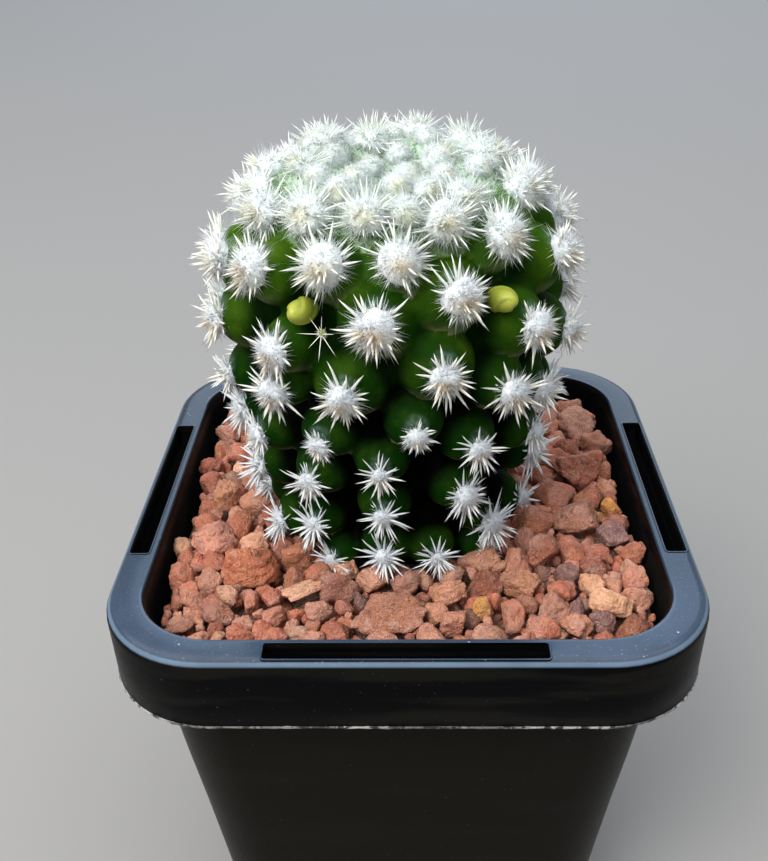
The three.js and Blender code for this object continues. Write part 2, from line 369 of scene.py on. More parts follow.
# Tubercles as (degrees round from the front, millimetres up the flank): those whose spine clusters are
# nodes of the frame, in that order, then those at the plant's outline and on its crown
ownTubercles = [
    (-28, 4.5), (-4, 7), (18, 6), (-62, 5.5), (-34, 10), (44, 8.5), (-74, 12.5), (76, 14), (-4, 14),
    (28, 15.5), (-32, 17.5), (-4, 21), (-56, 21), (30, 23), (-24, 24.5), (8, 27), (58, 27), (40, 30),
    (-38, 30.5), (-14, 32), (76, 32), (16, 34.5), (-36, 36), (-70, 35), (48, 37), (-4, 40.5), (72, 42.5),
    (22, 43), (-50, 44), (-22, 46.5), (4, 47.5), (46, 48), (-60, 50), (24, 51.5), (-36, 52), (-10, 53),
    (76, 51), (-124, 57), (-164, 60), (98, 56), (110, 62),
]
edgeTubercles = [
    (42, 4), (84, 4), (-78, 20.5), (-70, 27.5), (-72, 42), (-80, 51), (8, 53.5), (38, 54), (164, 55),
    (24, 56.5), (-28, 56.5), (-80, 57.5), (6, 58.5), (-50, 63),
]


# A smooth curve through the flank's points, sampled evenly along each span
def flankPoint(share):
    points = np.array(plant["flank"], float)
    position = np.clip(share, 0, 1) * (len(points) - 1)
    span = min(int(position), len(points) - 2) if share < 1 else len(points) - 1
    weight = position - span
    last = len(points) - 1
    before, start = points[max(span - 1, 0)], points[min(span, last)]
    end, after = points[min(span + 1, last)], points[min(span + 2, last)]
    leave, arrive = (end - before) / 2, (after - start) / 2
    cubic = 2 * start - 2 * end + leave + arrive
    square = -3 * start + 3 * end - 2 * leave - arrive
    return cubic * weight ** 3 + square * weight ** 2 + leave * weight + start


flankShares = np.linspace(0, 1, 201)
flankSamples = np.array([flankPoint(share) for share in flankShares])
flankRun = np.concatenate([[0], np.cumsum(np.linalg.norm(np.diff(flankSamples, axis=0), axis=1))])
flankLength = flankRun[-1]


def smoothStep(value, low, high):
    share = min(max((value - low) / (high - low), 0.0), 1.0)
    return share * share * (3 - 2 * share)


def between(ends, share):
    return ends[0] + (ends[1] - ends[0]) * share


# A tubercle's tip, and the way that it points, up the flank and sideways. Near the crown the tips
# lie a little deeper, in their wool.
def tubercleFrame(turn, along):
    share = np.interp(np.clip(along, 0, flankLength), flankRun, flankShares)
    tip = flankPoint(share)
    near = 1e-4
    run = flankPoint(min(share + near, 1)) - flankPoint(max(share - near, 0))
    run /= np.linalg.norm(run)
    angle = math.radians(turn)
    outward = np.array([math.sin(angle), -math.cos(angle), 0.0])
    upright = np.array([0.0, 0.0, 1.0])
    up = outward * run[0] + upright * run[1]
    direction = outward * run[1] - upright * run[0]
    sink = direction * plant["crownSink"] * smoothStep(along, *plant["sinkOver"])
    place = outward * tip[0] + upright * tip[1] - sink
    return {
        "place": place, "direction": direction, "up": up,
        "side": np.cross(up, direction), "along": along, "turn": turn,
    }


def clearance(frames, candidate):
    return min(np.linalg.norm(other["place"] - candidate["place"]) for other in frames)


# Frames wound round the stem, from low to high up the flank
def woundFrames(low, high):
    tries = plant["tries"]
    for i in range(tries):
        yield tubercleFrame(i * plant["goldenTurn"], low + (high - low) * i / tries)


# The listed tubercles, then the far side's, wound round the stem wherever there is room, then smaller
# ones in the gaps that are left at the sides and back, and the youngest in the middle of the crown
def allTubercles():
    frames = [tubercleFrame(turn, along) for turn, along in ownTubercles + edgeTubercles]
    for candidate in woundFrames(plant["hiddenFrom"], flankLength):
        foot = 1 - smoothStep(candidate["along"], *plant["footOver"])
        closer = max(smoothStep(candidate["along"], *plant["hiddenOver"]), plant["footLoss"] * foot)
        if clearance(frames, candidate) > between(plant["hiddenSpacing"], closer):
            frames.append(candidate)
    for candidate in woundFrames(plant["fillFrom"], plant["fillTop"]):
        closer = smoothStep(candidate["along"], *plant["fillOver"])
        behind = candidate["place"][1] > between(plant["fillFront"], closer)
        if behind and clearance(frames, candidate) > between(plant["fillSpacing"], closer):
            frames.append(candidate)
    for candidate in woundFrames(plant["youngFrom"], flankLength):
        if clearance(frames, candidate) > plant["youngSpacing"]:
            frames.append({**candidate, "young": True})
    places = np.array([one["place"] for one in frames])
    apart = np.linalg.norm(places[:, None] - places[None], axis=2) + 99 * np.eye(len(places))
    for one, nearest in zip(frames, apart.min(axis=1)):
        one["spacing"] = nearest
    return frames


def toPot(points):
    return points @ leanTurn.T + plantPlace


tubercles = allTubercles()
print(len(tubercles), "tubercles")


# Triangles between two rings of points that are numbered from low and from high
def band(low, high, count):
    around = np.arange(count)
    after = (around + 1) % count
    first = np.stack([low + around, low + after, high + after], axis=1)
    return [first, np.stack([low + around, high + after, high + around], axis=1)]


# A closed surface of revolution from (radius, height) points that start and end on the axis
def turned(profile, segments):
    angles = 2 * np.pi * np.arange(segments) / segments
    circle = np.stack([np.cos(angles), np.sin(angles)], axis=1)
    rings = [np.concatenate([circle * radius, np.full((segments, 1), height)], axis=1)
             for radius, height in profile[1:-1]]
    points = np.concatenate([[[0, 0, profile[0][1]]], *rings, [[0, 0, profile[-1][1]]]])
    around = np.arange(segments)
    after = (around + 1) % segments
    faces = [np.stack([np.zeros(segments, int), 1 + after, 1 + around], axis=1)]
    for ring in range(len(rings) - 1):
        faces += band(1 + ring * segments, 1 + (ring + 1) * segments, segments)
    top = 1 + (len(rings) - 1) * segments
    faces.append(np.stack([top + around, top + after, np.full(segments, len(points) - 1)], axis=1))
    return points, np.concatenate(faces)


# Spine clusters. Each row is sampled at the cluster's age, which is its height up the flank unless it is
# young; all lengths run from the middle of its wool.
clusterLook = {
    "age": (4, 14, 22, 30, 40, 48, 55, 60, 66, 70),
    "wool": (1.5, 1.7, 2.0, 2.1, 2.6, 2.85, 2.7, 2.3, 1.95, 1.7),
    "dome": (0.60, 0.60, 0.62, 0.68, 0.74, 0.74, 0.72, 0.78, 0.86, 0.86),
    "hairs": (420, 460, 560, 740, 880, 940, 980, 1050, 1050, 900),
    "stray": (0.22, 0.22, 0.22, 0.22, 0.22, 0.21, 0.20, 0.18, 0.15, 0.14),
    "hairWidth": (0.10, 0.10, 0.10, 0.10, 0.10, 0.095, 0.085, 0.07, 0.065, 0.06),
    "spines": (34, 32, 26, 22, 25, 32, 48, 40, 10, 4),
    "length": (4.2, 4.3, 4.2, 4.5, 4.9, 4.9, 4.8, 3.9, 2.3, 1.7),
    "width": (0.30, 0.30, 0.33, 0.39, 0.40, 0.35, 0.24, 0.18, 0.11, 0.08),
    "lift": (62, 62, 66, 72, 74, 74, 72, 66, 56, 50),
    "crowd": (1.5, 1.5, 1.5, 1.4, 1.3, 1.2, 1.0, 1.0, 1.2, 1.0),
    "front": (0.74, 0.76, 0.80, 0.84, 0.86, 0.80, 0.66, 0.60, 0.60, 0.50),
    "drop": (0.42, 0.40, 0.32, 0.24, 0.18, 0.08, 0.0, 0.0, 0.0, 0.0),
    "tilt": (0.25, 0.25, 0.20, 0.12, 0.08, 0.0, 0.0, 0.0, 0.0, 0.0),
    "peach": (0.1, 0.2, 0.5, 0.8, 1.0, 0.75, 0.6, 0.65, 0.6, 0.4),
    "warmDrop": (0.34, 0.34, 0.34, 0.34, 0.34, 0.40, 0.58, 0.72, 0.80, 0.80),
    # Painted casts of shade: bluish on the low clusters, greenish on the crown's young ones
    "cool": (1.0, 0.9, 0.6, 0.2, 0.0, 0.0, 0.0, 0.0, 0.0, 0.0),
    "mint": (0.0, 0.0, 0.0, 0.0, 0.0, 0.5, 1.0, 1.0, 1.0, 1.0),
    "core": 0.78, "sway": 0.13, "farHairs": 0.6, "fullFrom": 54, "fullBefore": 12, "outlineTurn": 0.19,
    "asideOver": (0.65, 0.25), "crownOver": (46, 54), "behindOver": (0.1, 0.4),
}

# Clusters that are smaller or larger than their neighbours
clusterSizes = {
    (8, 27): 0.78, (-24, 24.5): 0.78, (30, 23): 0.80, (42, 4): 0.7, (18, 6): 0.78, (-4, 21): 0.68,
    (-28, 4.5): 0.80, (16, 34.5): 0.88,
    (-4, 14): 0.85, (28, 15.5): 1.25, (44, 8.5): 1.35, (76, 14): 1.35, (84, 4): 1.3, (-74, 12.5): 1.3,
    (-78, 20.5): 1.25, (-62, 5.5): 1.2,
    (-80, 51): 0.80, (-72, 42): 0.86, (-80, 57.5): 0.80, (-60, 50): 0.98, (-70, 35): 0.92, (-70, 27.5): 0.92,
}
# Clusters whose spines are short for their wool
shortSpines = {(8, 27): 0.68, (-24, 24.5): 0.74}

# The crown's youngest clusters lie a little to the front
youngClusters = {
    (6, 58.5): 66, (-28, 56.5): 65, (24, 56.5): 65, (-50, 63): 64, (8, 53.5): 61, (110, 62): 60,
    (38, 54): 57.5,
}
oldestFull = 55
youngestAge = 69


def sample(key, one):
    listed = youngClusters.get((one["turn"], one["along"]), min(one["along"], oldestFull))
    age = youngestAge if one.get("young") else listed
    return float(np.interp(age, clusterLook["age"], clusterLook[key]))


# Stem
stemLook = {
    "widthShare": 0.455, "upperShare": 0.12, "widerOver": (26, 40), "widthLimits": (1.6, 4.3),
    "domeShare": 1.05, "domeSteps": 9, "collar": 0.6, "flare": 0.12, "broad": 1.06, "sides": 28,
    "root": [(0.0, -12.0), (6.5, -11.0)], "rings": 24, "coreSides": 72,
    "markDepth": 2.2, "spot": 0.75, "crownFrom": 46, "crownOver": 14,
    "voxel": 0.56, "smoothing": 2, "soften": 0.5,
    # The deep colours are painted shade in the gaps between tubercles, and the upper colours painted light up
    # the stem and on its flanks
    "deep": (0.0003, 0.0008, 0.0001), "upperGapShade": (0.0030, 0.022, 0.0003),
    "skin": (0.0024, 0.0220, 0.0006), "litUpperSkin": (0.024, 0.073, 0.0020),
    "fresh": (0.026, 0.062, 0.0022), "litUpperFresh": (0.078, 0.138, 0.0070), "flankFrom": 5.0, "flankOver": 8.0,
    "scar": (0.165, 0.175, 0.085), "crown": (0.09, 0.22, 0.035), "mint": (0.44, 0.56, 0.45),
    "haze": (0.20, 0.28, 0.25), "roughness": 0.58, "riseFrom": 22.0, "riseOver": 18.0,
}


def tubercleWidth(one):
    low, high = stemLook["widthLimits"]
    wider = smoothStep(one["along"], *stemLook["widerOver"])
    share = stemLook["widthShare"] + stemLook["upperShare"] * wider
    return min(max(share * one["spacing"], low), high)


def tubercleProfile(width):
    dome = stemLook["domeShare"] * width
    points = [(0.0, -plant["reach"])]
    for depth in (plant["reach"], stemLook["collar"] * plant["reach"]):
        flare = stemLook["flare"] * (depth - dome) / (plant["reach"] - dome)
        points.append((width * (1 + flare), -depth))
    steps = stemLook["domeSteps"]
    for i in range(steps):
        angle = 0.5 * math.pi * i / steps
        points.append((width * math.cos(angle), dome * (math.sin(angle) - 1)))
    return points + [(0.0, 0.0)]


def stemShape():
    bag = Bag()
    outline = list(stemLook["root"])
    rings = stemLook["rings"]
    for i in range(rings):
        along = flankLength * i / rings
        one = tubercleFrame(90, along)
        inner = one["place"] - plant["coreDepth"] * one["direction"]
        outline.append((inner[0], inner[2]))
    outline.append((0.0, plant["flank"][-1][1] - plant["coreDepth"]))
    points, faces = turned(outline, stemLook["coreSides"])
    bag.add(toPot(points), faces)
    for one in tubercles:
        points, faces = turned(tubercleProfile(tubercleWidth(one)), stemLook["sides"])
        basis = np.array([one["side"] * stemLook["broad"], -one["up"], one["direction"]])
        bag.add(toPot(points @ basis + one["place"]), faces)
    return bag


# The evaluated mesh of an object, modifiers included
def bakeModifiers(piece):
    graph = bpy.context.evaluated_depsgraph_get()
    mesh = bpy.data.meshes.new_from_object(piece.evaluated_get(graph))
    old = piece.data
    piece.modifiers.clear()
    piece.data = mesh
    bpy.data.meshes.remove(old)


# For each point of the stem: how deep it lies under its tubercle's tip, how far to its lower side, and
# how near to the downy spot over its wool
def markTubercles(mesh):
    points = np.empty(len(mesh.vertices) * 3, np.float32)
    mesh.vertices.foreach_get("co", points)
    points = (points.reshape(-1, 3) / mm - plantPlace) @ leanTurn
    places = np.array([one["place"] for one in tubercles])
    directions = np.array([one["direction"] for one in tubercles])
    ups = np.array([one["up"] for one in tubercles])
    widths = np.array([tubercleWidth(one) for one in tubercles])
    alongs = np.array([one["along"] for one in tubercles])
    middles = places - directions * stemLook["markDepth"]
    nearest = np.empty(len(points), int)
    batch = 20000
    for start in range(0, len(points), batch):
        part = points[start:start + batch]
        apart = np.linalg.norm(part[:, None] - middles[None], axis=2) / widths[None] ** 0.5
        nearest[start:start + batch] = apart.argmin(axis=1)
    offset = points - places[nearest]
    depth = -(offset * directions[nearest]).sum(axis=1)
    lower = -(offset * ups[nearest]).sum(axis=1) / widths[nearest]
    wools = np.array([sample("wool", one) for one in tubercles])[nearest]
    spot = np.linalg.norm(offset - ups[nearest] * stemLook["spot"] * wools[:, None], axis=1)
    crown = (alongs[nearest] - stemLook["crownFrom"]) / stemLook["crownOver"]
    # Height up the stem and distance to the left or right, which place the painted light on the skin
    rise = (points[:, 2] - stemLook["riseFrom"]) / stemLook["riseOver"]
    flank = (np.abs(points[:, 0]) - stemLook["flankFrom"]) / stemLook["flankOver"]
    marks = {
        "depth": depth, "lower": lower, "crown": crown, "spot": spot / wools, "rise": rise, "flank": flank,
    }
    for name, values in marks.items():
        mesh.attributes.new(name, "FLOAT", "POINT").data.foreach_set("value", values.astype(np.float32))


def stemSkin(look):
    shader = Shader("greenSkin")
    depth = shader.attribute("depth")
    lower = shader.attribute("lower")
    crown = shader.attribute("crown").clamp()
    patches = shader.noise(260, 3)
    fine = shader.noise(1500, 2)
    rise = shader.attribute("rise").clamp()
    # Painted light: the skin is painted paler up the stem, and most on its left and right flanks
    paintedLight = rise * (0.34 + shader.attribute("flank").clamp() * 0.66)
    base = shader.mix(paintedLight, colour(*look["skin"]), colour(*look["litUpperSkin"]))
    lively = shader.mix(paintedLight, colour(*look["fresh"]), colour(*look["litUpperFresh"]))
    skin = shader.mix(((patches - 0.46 + rise * 0.06) * 2.6).clamp(0, 0.8), base, lively)
    skin = shader.mix(crown * 1.2, skin, colour(*look["crown"]))
    down = shader.noise(1900, 3)
    haze = (1 - shader.attribute("spot").step(0.15, 0.90)) * (0.25 + down.step(0.35, 0.65) * 0.75)
    downy = crown.step(0.25, 0.75) * down.step(0.36, 0.54)
    skin = shader.mix(downy, skin, colour(*look["mint"]))
    # Painted shade: the gaps between the tubercles are painted near black, less so at the crown
    hollow = (depth - rise).step(1.2, 3.6) * (1 - crown * 0.85)
    skin = shader.mix(hollow, skin, shader.mix(rise, colour(*look["deep"]), colour(*look["upperGapShade"])))
    rim = lower.step(0.35, 0.85) * (1 - lower.step(0.92, 1.25))
    rim = rim * depth.step(0.6, 1.8) * (1 - depth.step(2.2, 3.6))
    scar = rim * (0.35 + shader.noise(420, 3).step(0.36, 0.60) * 0.65) * (1 - rise * 0.55)
    skin = shader.mix(scar * 0.8, skin, colour(*look["scar"]))
    skin = shader.mix(haze * 0.6 * (1 - crown), skin, colour(*look["haze"]))
    skin = shader.tint(skin, 0.78 + fine * 0.44)
    normal = shader.bump(fine + patches * 0.6, 0.00012, 0.5)
    return shader.surface(
        Base_Color=skin, Roughness=look["roughness"] + patches * 0.16, Normal=normal, Specular_IOR_Level=0.03,
    )


def makeStem():
    piece = makePiece("cactusStem", stemShape(), stemSkin(stemLook), ["cactus_stem"])
    remesh = piece.modifiers.new("join", "REMESH")
    remesh.mode = "VOXEL"
    remesh.voxel_size = stemLook["voxel"] * mm
    remesh.use_smooth_shade = True
    smooth = piece.modifiers.new("soften", "SMOOTH")
    smooth.factor = stemLook["soften"]
    smooth.iterations = stemLook["smoothing"]
    bakeModifiers(piece)
    markTubercles(piece.data)
    return piece


stem = makeStem()
print("stem", len(stem.data.polygons), "faces")


# Directions round a tubercle's tip: around is the angle from straight down the flank, lift from its skin
def spread(one, around, lift):
    flat = np.cos(around)[:, None] * -one["up"] + np.sin(around)[:, None] * one["side"]
    return np.cos(lift)[:, None] * flat + np.sin(lift)[:, None] * one["direction"]


def addShape(bag, one, points, faces, shares, peach, wool):
    tint = {"cool": sample("cool", one), "mint": sample("mint", one)}
    bag.add(toPot(points), faces, share=shares, peach=peach, wool=wool, **tint)


# Fine straight hairs, each with its own warmth or all with the same
def addHairs(bag, one, roots, tips, widths, peach=0.0):
    points, faces, shares = needles(roots, tips, widths, 3, [(0.0, 1.0)])
    peach = np.repeat(np.broadcast_to(peach, len(roots)), len(points) // len(roots))
    addShape(bag, one, points, faces, shares, peach, 1.0)


# How far a cluster below the crown lies at the side or the back, and whether it lies at the outline
def asideShare(one):
    aside = smoothStep(-one["direction"][1], *clusterLook["asideOver"])
    return aside * (1 - smoothStep(one["along"], *clusterLook["crownOver"]))


def outlineShare(one):
    return asideShare(one) * (1 - smoothStep(one["direction"][1], *clusterLook["behindOver"]))


# The cluster's own frame: on the lower tubercles it turns up a little, at the left and right outline it
# turns to the front, and each sways to one side
def clusterFrame(one, random):
    direction = one["direction"] + sample("tilt", one) * one["up"]
    direction += random.normal(0, clusterLook["sway"]) * one["side"]
    direction += clusterLook["outlineTurn"] * outlineShare(one) * np.array((0, -1, 0))
    direction /= np.linalg.norm(direction)
    up = one["up"] - (one["up"] @ direction) * direction
    up /= np.linalg.norm(up)
    return {**one, "direction": direction, "up": up, "side": np.cross(up, direction)}


spineLook = {
    "outlineMore": 0.4, "jitter": 0.7, "backLess": 0.9, "backOver": (2, 9),
    "sideLift": 20.0, "sideSpread": (0.4, 1.6), "lowest": 3, "liftNoise": 5,
    "sunk": 0.14, "rootOut": 0.25, "rootNoise": 0.10, "reach": 0.56, "reachMore": 0.53, "reachPower": 0.8,
    "upShort": 0.22, "widths": (0.80, 1.12), "bow": 0.08, "warmOut": 1.35, "warmDown": 0.25, "sidePale": 0.6,
    "sides": 5, "profile": [(0.0, 0.9), (0.35, 1.0), (0.72, 0.64)],
}


# Stout spines all round the wool. Over its lower half they also stand out towards the viewer.
def addSpines(bag, one, size, random):
    look = spineLook
    count = int(round(sample("spines", one) * (1 + look["outlineMore"] * outlineShare(one))))
    wool = sample("wool", one) * size
    turnShare = (np.arange(count) + random.uniform(-look["jitter"], look["jitter"], count)) / count * 2 - 1
    around = np.sign(turnShare) * np.abs(turnShare) ** (1 + sample("drop", one)) * np.pi
    upShare = 0.5 - 0.5 * np.cos(around)
    ring = (random.permutation(count) / count) ** sample("crowd", one)
    # Behind the crown's middle they stand out on the near side too, and fan upward
    front = sample("front", one) * (1 - look["backLess"] * smoothStep(one["place"][1], *look["backOver"]))
    raised = sample("lift", one) * ring * (1 - front * upShare)
    # At the sides and the back they fan outward
    raised += look["sideLift"] * asideShare(one) * random.uniform(*look["sideSpread"], count)
    lift = np.radians(look["lowest"] + raised + random.uniform(-look["liftNoise"], look["liftNoise"], count))
    directions = spread(one, around, lift)
    start = one["place"] - one["direction"] * look["sunk"] * wool
    roots = start + directions * (look["rootOut"] * wool) + random.normal(0, look["rootNoise"], (count, 3))
    longer = look["reachMore"] * random.uniform(0, 1, count) ** look["reachPower"]
    reach = sample("length", one) * size ** 0.5 * (look["reach"] + longer)
    reach *= (1 - look["upShort"] * np.sin(lift)) * shortSpines.get((one["turn"], one["along"]), 1.0)
    tips = start + directions * reach[:, None]
    widths = sample("width", one) * size ** 0.5 * random.uniform(*look["widths"], count)
    bow = random.normal(0, look["bow"], (count, 3))
    points, faces, shares = needles(roots, tips, widths, look["sides"], look["profile"], bow)
    warm = look["warmOut"] * np.sin(lift) + look["warmDown"] * np.cos(around)
    peach = sample("peach", one) * np.clip(warm, 0, 1)
    peach *= 1 - look["sidePale"] * asideShare(one)
    addShape(bag, one, points, faces, shares, np.repeat(peach, len(points) // count), 0.0)


woolLook = {
    "sunk": 0.04, "tufts": [(1.7, 0.14), (4.3, 0.12)], "coreShare": 0.35, "lowest": -0.15,
    "reach": (0.86, 1.18), "rootAt": 0.62, "widths": (0.7, 1.3), "warmAcross": 0.62, "warmAlong": 0.42,
}


# How warm the wool is by its direction: most just below its middle
def warmth(one, directions):
    across = (directions @ one["side"] / woolLook["warmAcross"]) ** 2
    along = ((directions @ one["up"] + sample("warmDrop", one)) / woolLook["warmAlong"]) ** 2
    return sample("peach", one) * np.exp(-across - along)


# Wool: a lumpy ball, and short hairs that lie this way and that over it
def addWool(bag, one, size, random):
    look = woolLook
    wool = sample("wool", one) * size
    dome = sample("dome", one)
    centre = one["place"] - one["direction"] * look["sunk"] * wool
    points, faces = balls[3]
    shift = random.uniform(0, 30)
    tufts = 1
    for frequency, amount in look["tufts"]:
        tufts = tufts + amount * lumps(points * frequency + shift)
    basis = np.array([one["side"], one["up"], one["direction"]])
    shape = points * (clusterLook["core"] * tufts)[:, None] * np.array((1, 1, dome)) * wool
    addShape(bag, one, shape @ basis + centre, faces, look["coreShare"], warmth(one, points @ basis), 1.0)
    count = int(sample("hairs", one) * size * one.get("share", 1.0))
    lift = np.arcsin(random.uniform(look["lowest"], 1, count))
    directions = spread(one, random.uniform(-np.pi, np.pi, count), lift)
    reach = wool * (1 - (1 - dome) * np.sin(np.maximum(lift, 0))) * random.uniform(*look["reach"], count)
    stray = random.normal(0, sample("stray", one), directions.shape)
    roots = centre + directions * (look["rootAt"] * reach)[:, None]
    tips = centre + (directions + stray) * reach[:, None]
    widths = sample("hairWidth", one) * random.uniform(*look["widths"], count)
    addHairs(bag, one, roots, tips, widths, warmth(one, directions))


fuzzLook = {
    "hairs": 22, "width": 0.035, "widths": (0.7, 1.2), "spread": 0.8, "ring": (0.6, 1.0),
    "angles": (0.2, 1.1), "stray": 0.25, "outward": 0.7, "raised": 0.2, "length": (0.3, 0.6), "sunk": 0.2,
}


# Short pale hairs that lie on the tubercle round the upper side of its areole
def addFuzz(bag, one, size, random):
    look = fuzzLook
    width = tubercleWidth(one)
    wool = sample("wool", one) * size
    count = int(look["hairs"] * size)
    around = np.pi + random.normal(0, look["spread"], count)
    angle = (wool * random.uniform(*look["ring"], count) / width).clip(*look["angles"])
    flat = spread(one, around, np.zeros(count))
    out = one["direction"]
    depth = stemLook["domeShare"] * width * (1 - np.cos(angle))
    roots = one["place"] + flat * (width * np.sin(angle))[:, None] - out * depth[:, None]
    stray = random.normal(0, look["stray"], (count, 3)) + flat * look["outward"] + out * look["raised"]
    tips = roots + stray * random.uniform(*look["length"], count)[:, None]
    widths = look["width"] * random.uniform(*look["widths"], count)
    addHairs(bag, one, roots - out * look["sunk"], tips, widths)


def spineSkin():
    shader = Shader("spines")
    share = shader.attribute("share")
    peach = shader.attribute("peach")
    wool = shader.attribute("wool")
    mint = shader.attribute("mint")
    streaks = shader.noise(2200, 2)
    ivory = shader.mix(share, colour(0.78, 0.79, 0.72), colour(0.81, 0.82, 0.72))
    # Painted casts of shade: bluish on the lower clusters, and greenish, with olive for tan, on the crown's
    # young ones
    ivory = shader.mix(shader.attribute("cool"), ivory, colour(0.76, 0.82, 0.86))
    ivory = shader.mix(mint, ivory, colour(0.74, 0.79, 0.73))
    tan = shader.mix(mint, colour(0.67, 0.52, 0.34), colour(0.58, 0.60, 0.36))
    warm = shader.mix(peach * (1 - share.step(0.38, 0.86)), ivory, tan)
    down = shader.mix(mint, colour(0.79, 0.84, 0.88), colour(0.76, 0.84, 0.82))
    down = shader.mix(peach * (0.9 + streaks * 0.6), down, shader.mix(mint, colour(0.63, 0.49, 0.32), tan))
    # The hairs are a little darker towards their roots, a painted shade deep in the wool
    down = shader.tint(down, 0.94 + share * 0.12)
    white = shader.mix(wool, warm, down)
    fibres = shader.noise(5200, 2)
    normal = shader.bump(fibres * wool, 0.00018, 0.6)
    return shader.surface(
        Base_Color=shader.tint(white, 0.90 + streaks * 0.16), Roughness=0.45 + wool * 0.4, Normal=normal,
        Subsurface_Weight=0.5, Subsurface_Radius=(1.0, 0.97, 0.93), Subsurface_Scale=0.0009,
        Specular_IOR_Level=0.3,
    )


def addCluster(bag, one, size, random):
    swayed = clusterFrame(one, random)
    addWool(bag, swayed, size, random)
    addSpines(bag, swayed, size, random)
    addFuzz(bag, one, size, random)


crownDown = {
    "seed": 3, "tufts": 1300, "hairs": 8, "over": 18, "width": 0.06, "deep": (1.6, 3.0), "apart": 0.5,
    "length": (0.7, 1.9), "lean": 0.8,
}


# Fine pale down over the young skin between the crown's clusters
def addCrownDown(bag, look):
    random = np.random.default_rng(look["seed"])
    hairs = look["hairs"]
    for _ in range(look["tufts"]):
        one = tubercleFrame(random.uniform(-180, 180), flankLength - look["over"] * random.uniform() ** 0.5)
        roots = one["place"] - one["direction"] * random.uniform(*look["deep"], (hairs, 1))
        roots += random.normal(0, look["apart"], (hairs, 3))
        length = random.uniform(*look["length"], (hairs, 1))
        tips = roots + one["direction"] * length + random.normal(0, look["lean"], (hairs, 3))
        addHairs(bag, one, roots, tips, np.full(hairs, look["width"]))


def makeClusters():
    skin = spineSkin()
    shared = {"outlineSpineClusters": Bag(), "leftSpineClusters": Bag(), "rightSpineClusters": Bag()}
    for index, one in enumerate(tubercles):
        random = np.random.default_rng(1000 + index)
        size = clusterSizes.get((one["turn"], one["along"]), 1.0) * random.uniform(0.94, 1.06)
        if index < len(ownTubercles):
            bag = Bag()
            addCluster(bag, one, size, random)
            makePiece(f"spineCluster{index + 1:02d}", bag, skin, [f"spine_cluster_{index + 1:02d}"])
        elif index < len(ownTubercles) + len(edgeTubercles):
            addCluster(shared["outlineSpineClusters"], one, size, random)
        else:
            side = "left" if one["place"][0] < 0 else "right"
            # The far side's clusters have fewer hairs, but not those on the crown
            seen = one["along"] > clusterLook["fullFrom"] and one["place"][1] < clusterLook["fullBefore"]
            far = {**one, "share": 1.0 if seen else clusterLook["farHairs"]}
            addCluster(shared[side + "SpineClusters"], far, size, random)
    addCrownDown(shared["outlineSpineClusters"], crownDown)
    for name, bag in shared.items():
        piece = makePiece(name, bag, skin)
        print(name, len(piece.data.polygons), "faces")


makeClusters()
print("spine clusters made")

# Gravel: stones of red lava, with tan, pink and grey ones
stoneTones = {
    "red": (0.42, 0.145, 0.088), "salmon": (0.48, 0.205, 0.135), "pink": (0.49, 0.235, 0.160),
    "tan": (0.64, 0.340, 0.210), "ochre": (0.54, 0.250, 0.070), "rust": (0.30, 0.100, 0.062),
    "brown": (0.33, 0.140, 0.098), "purple": (0.19, 0.100, 0.088), "grey": (0.37, 0.190, 0.140),
    "olive": (0.47, 0.215, 0.130), "brick": (0.36, 0.145, 0.098), "orange": (0.50, 0.150, 0.080),
}
toneWeights = {
    "red": 32, "salmon": 24, "pink": 15, "tan": 4, "ochre": 1, "rust": 14, "brown": 7, "purple": 3, "grey": 1,
}

# Stones that are nodes of the frame, in its order: middle, half sizes, turn and tilt in degrees, tone
nodeStones = [
    ((-2.6, -23.9, 62.6), (5.2, 2.6, 1.7), 3, 38, "brick"),
    ((-19.4, -15.4, 63.0), (3.7, 3.4, 3.1), 20, 0, "orange"),
    ((-12.6, -19.9, 62.6), (2.9, 1.4, 1.3), 28, 10, "tan"),
    ((5.3, -20.2, 62.4), (2.3, 1.6, 2.2), 10, 20, "olive"),
    ((13.2, -18.2, 62.4), (3.0, 1.9, 1.8), -25, 0, "olive"),
    ((17.3, -12.6, 62.8), (2.3, 2.2, 2.2), 40, 0, "rust"),
    ((22.6, -5.2, 62.6), (3.9, 3.1, 2.8), -30, 12, "brown"),
    ((24.2, -22.3, 62.4), (2.8, 2.5, 2.2), 15, 0, "tan"),
    ((24.3, 6.9, 62.8), (3.4, 3.2, 2.9), 50, 0, "red"),
    ((-25.0, -8.6, 62.6), (3.4, 3.1, 2.8), -15, 0, "salmon"),
    ((-24.6, 0.4, 62.6), (2.0, 2.5, 2.4), 8, 15, "olive"),
    ((5.7, -25.2, 62.4), (2.1, 1.9, 1.9), 30, 0, "salmon"),
]

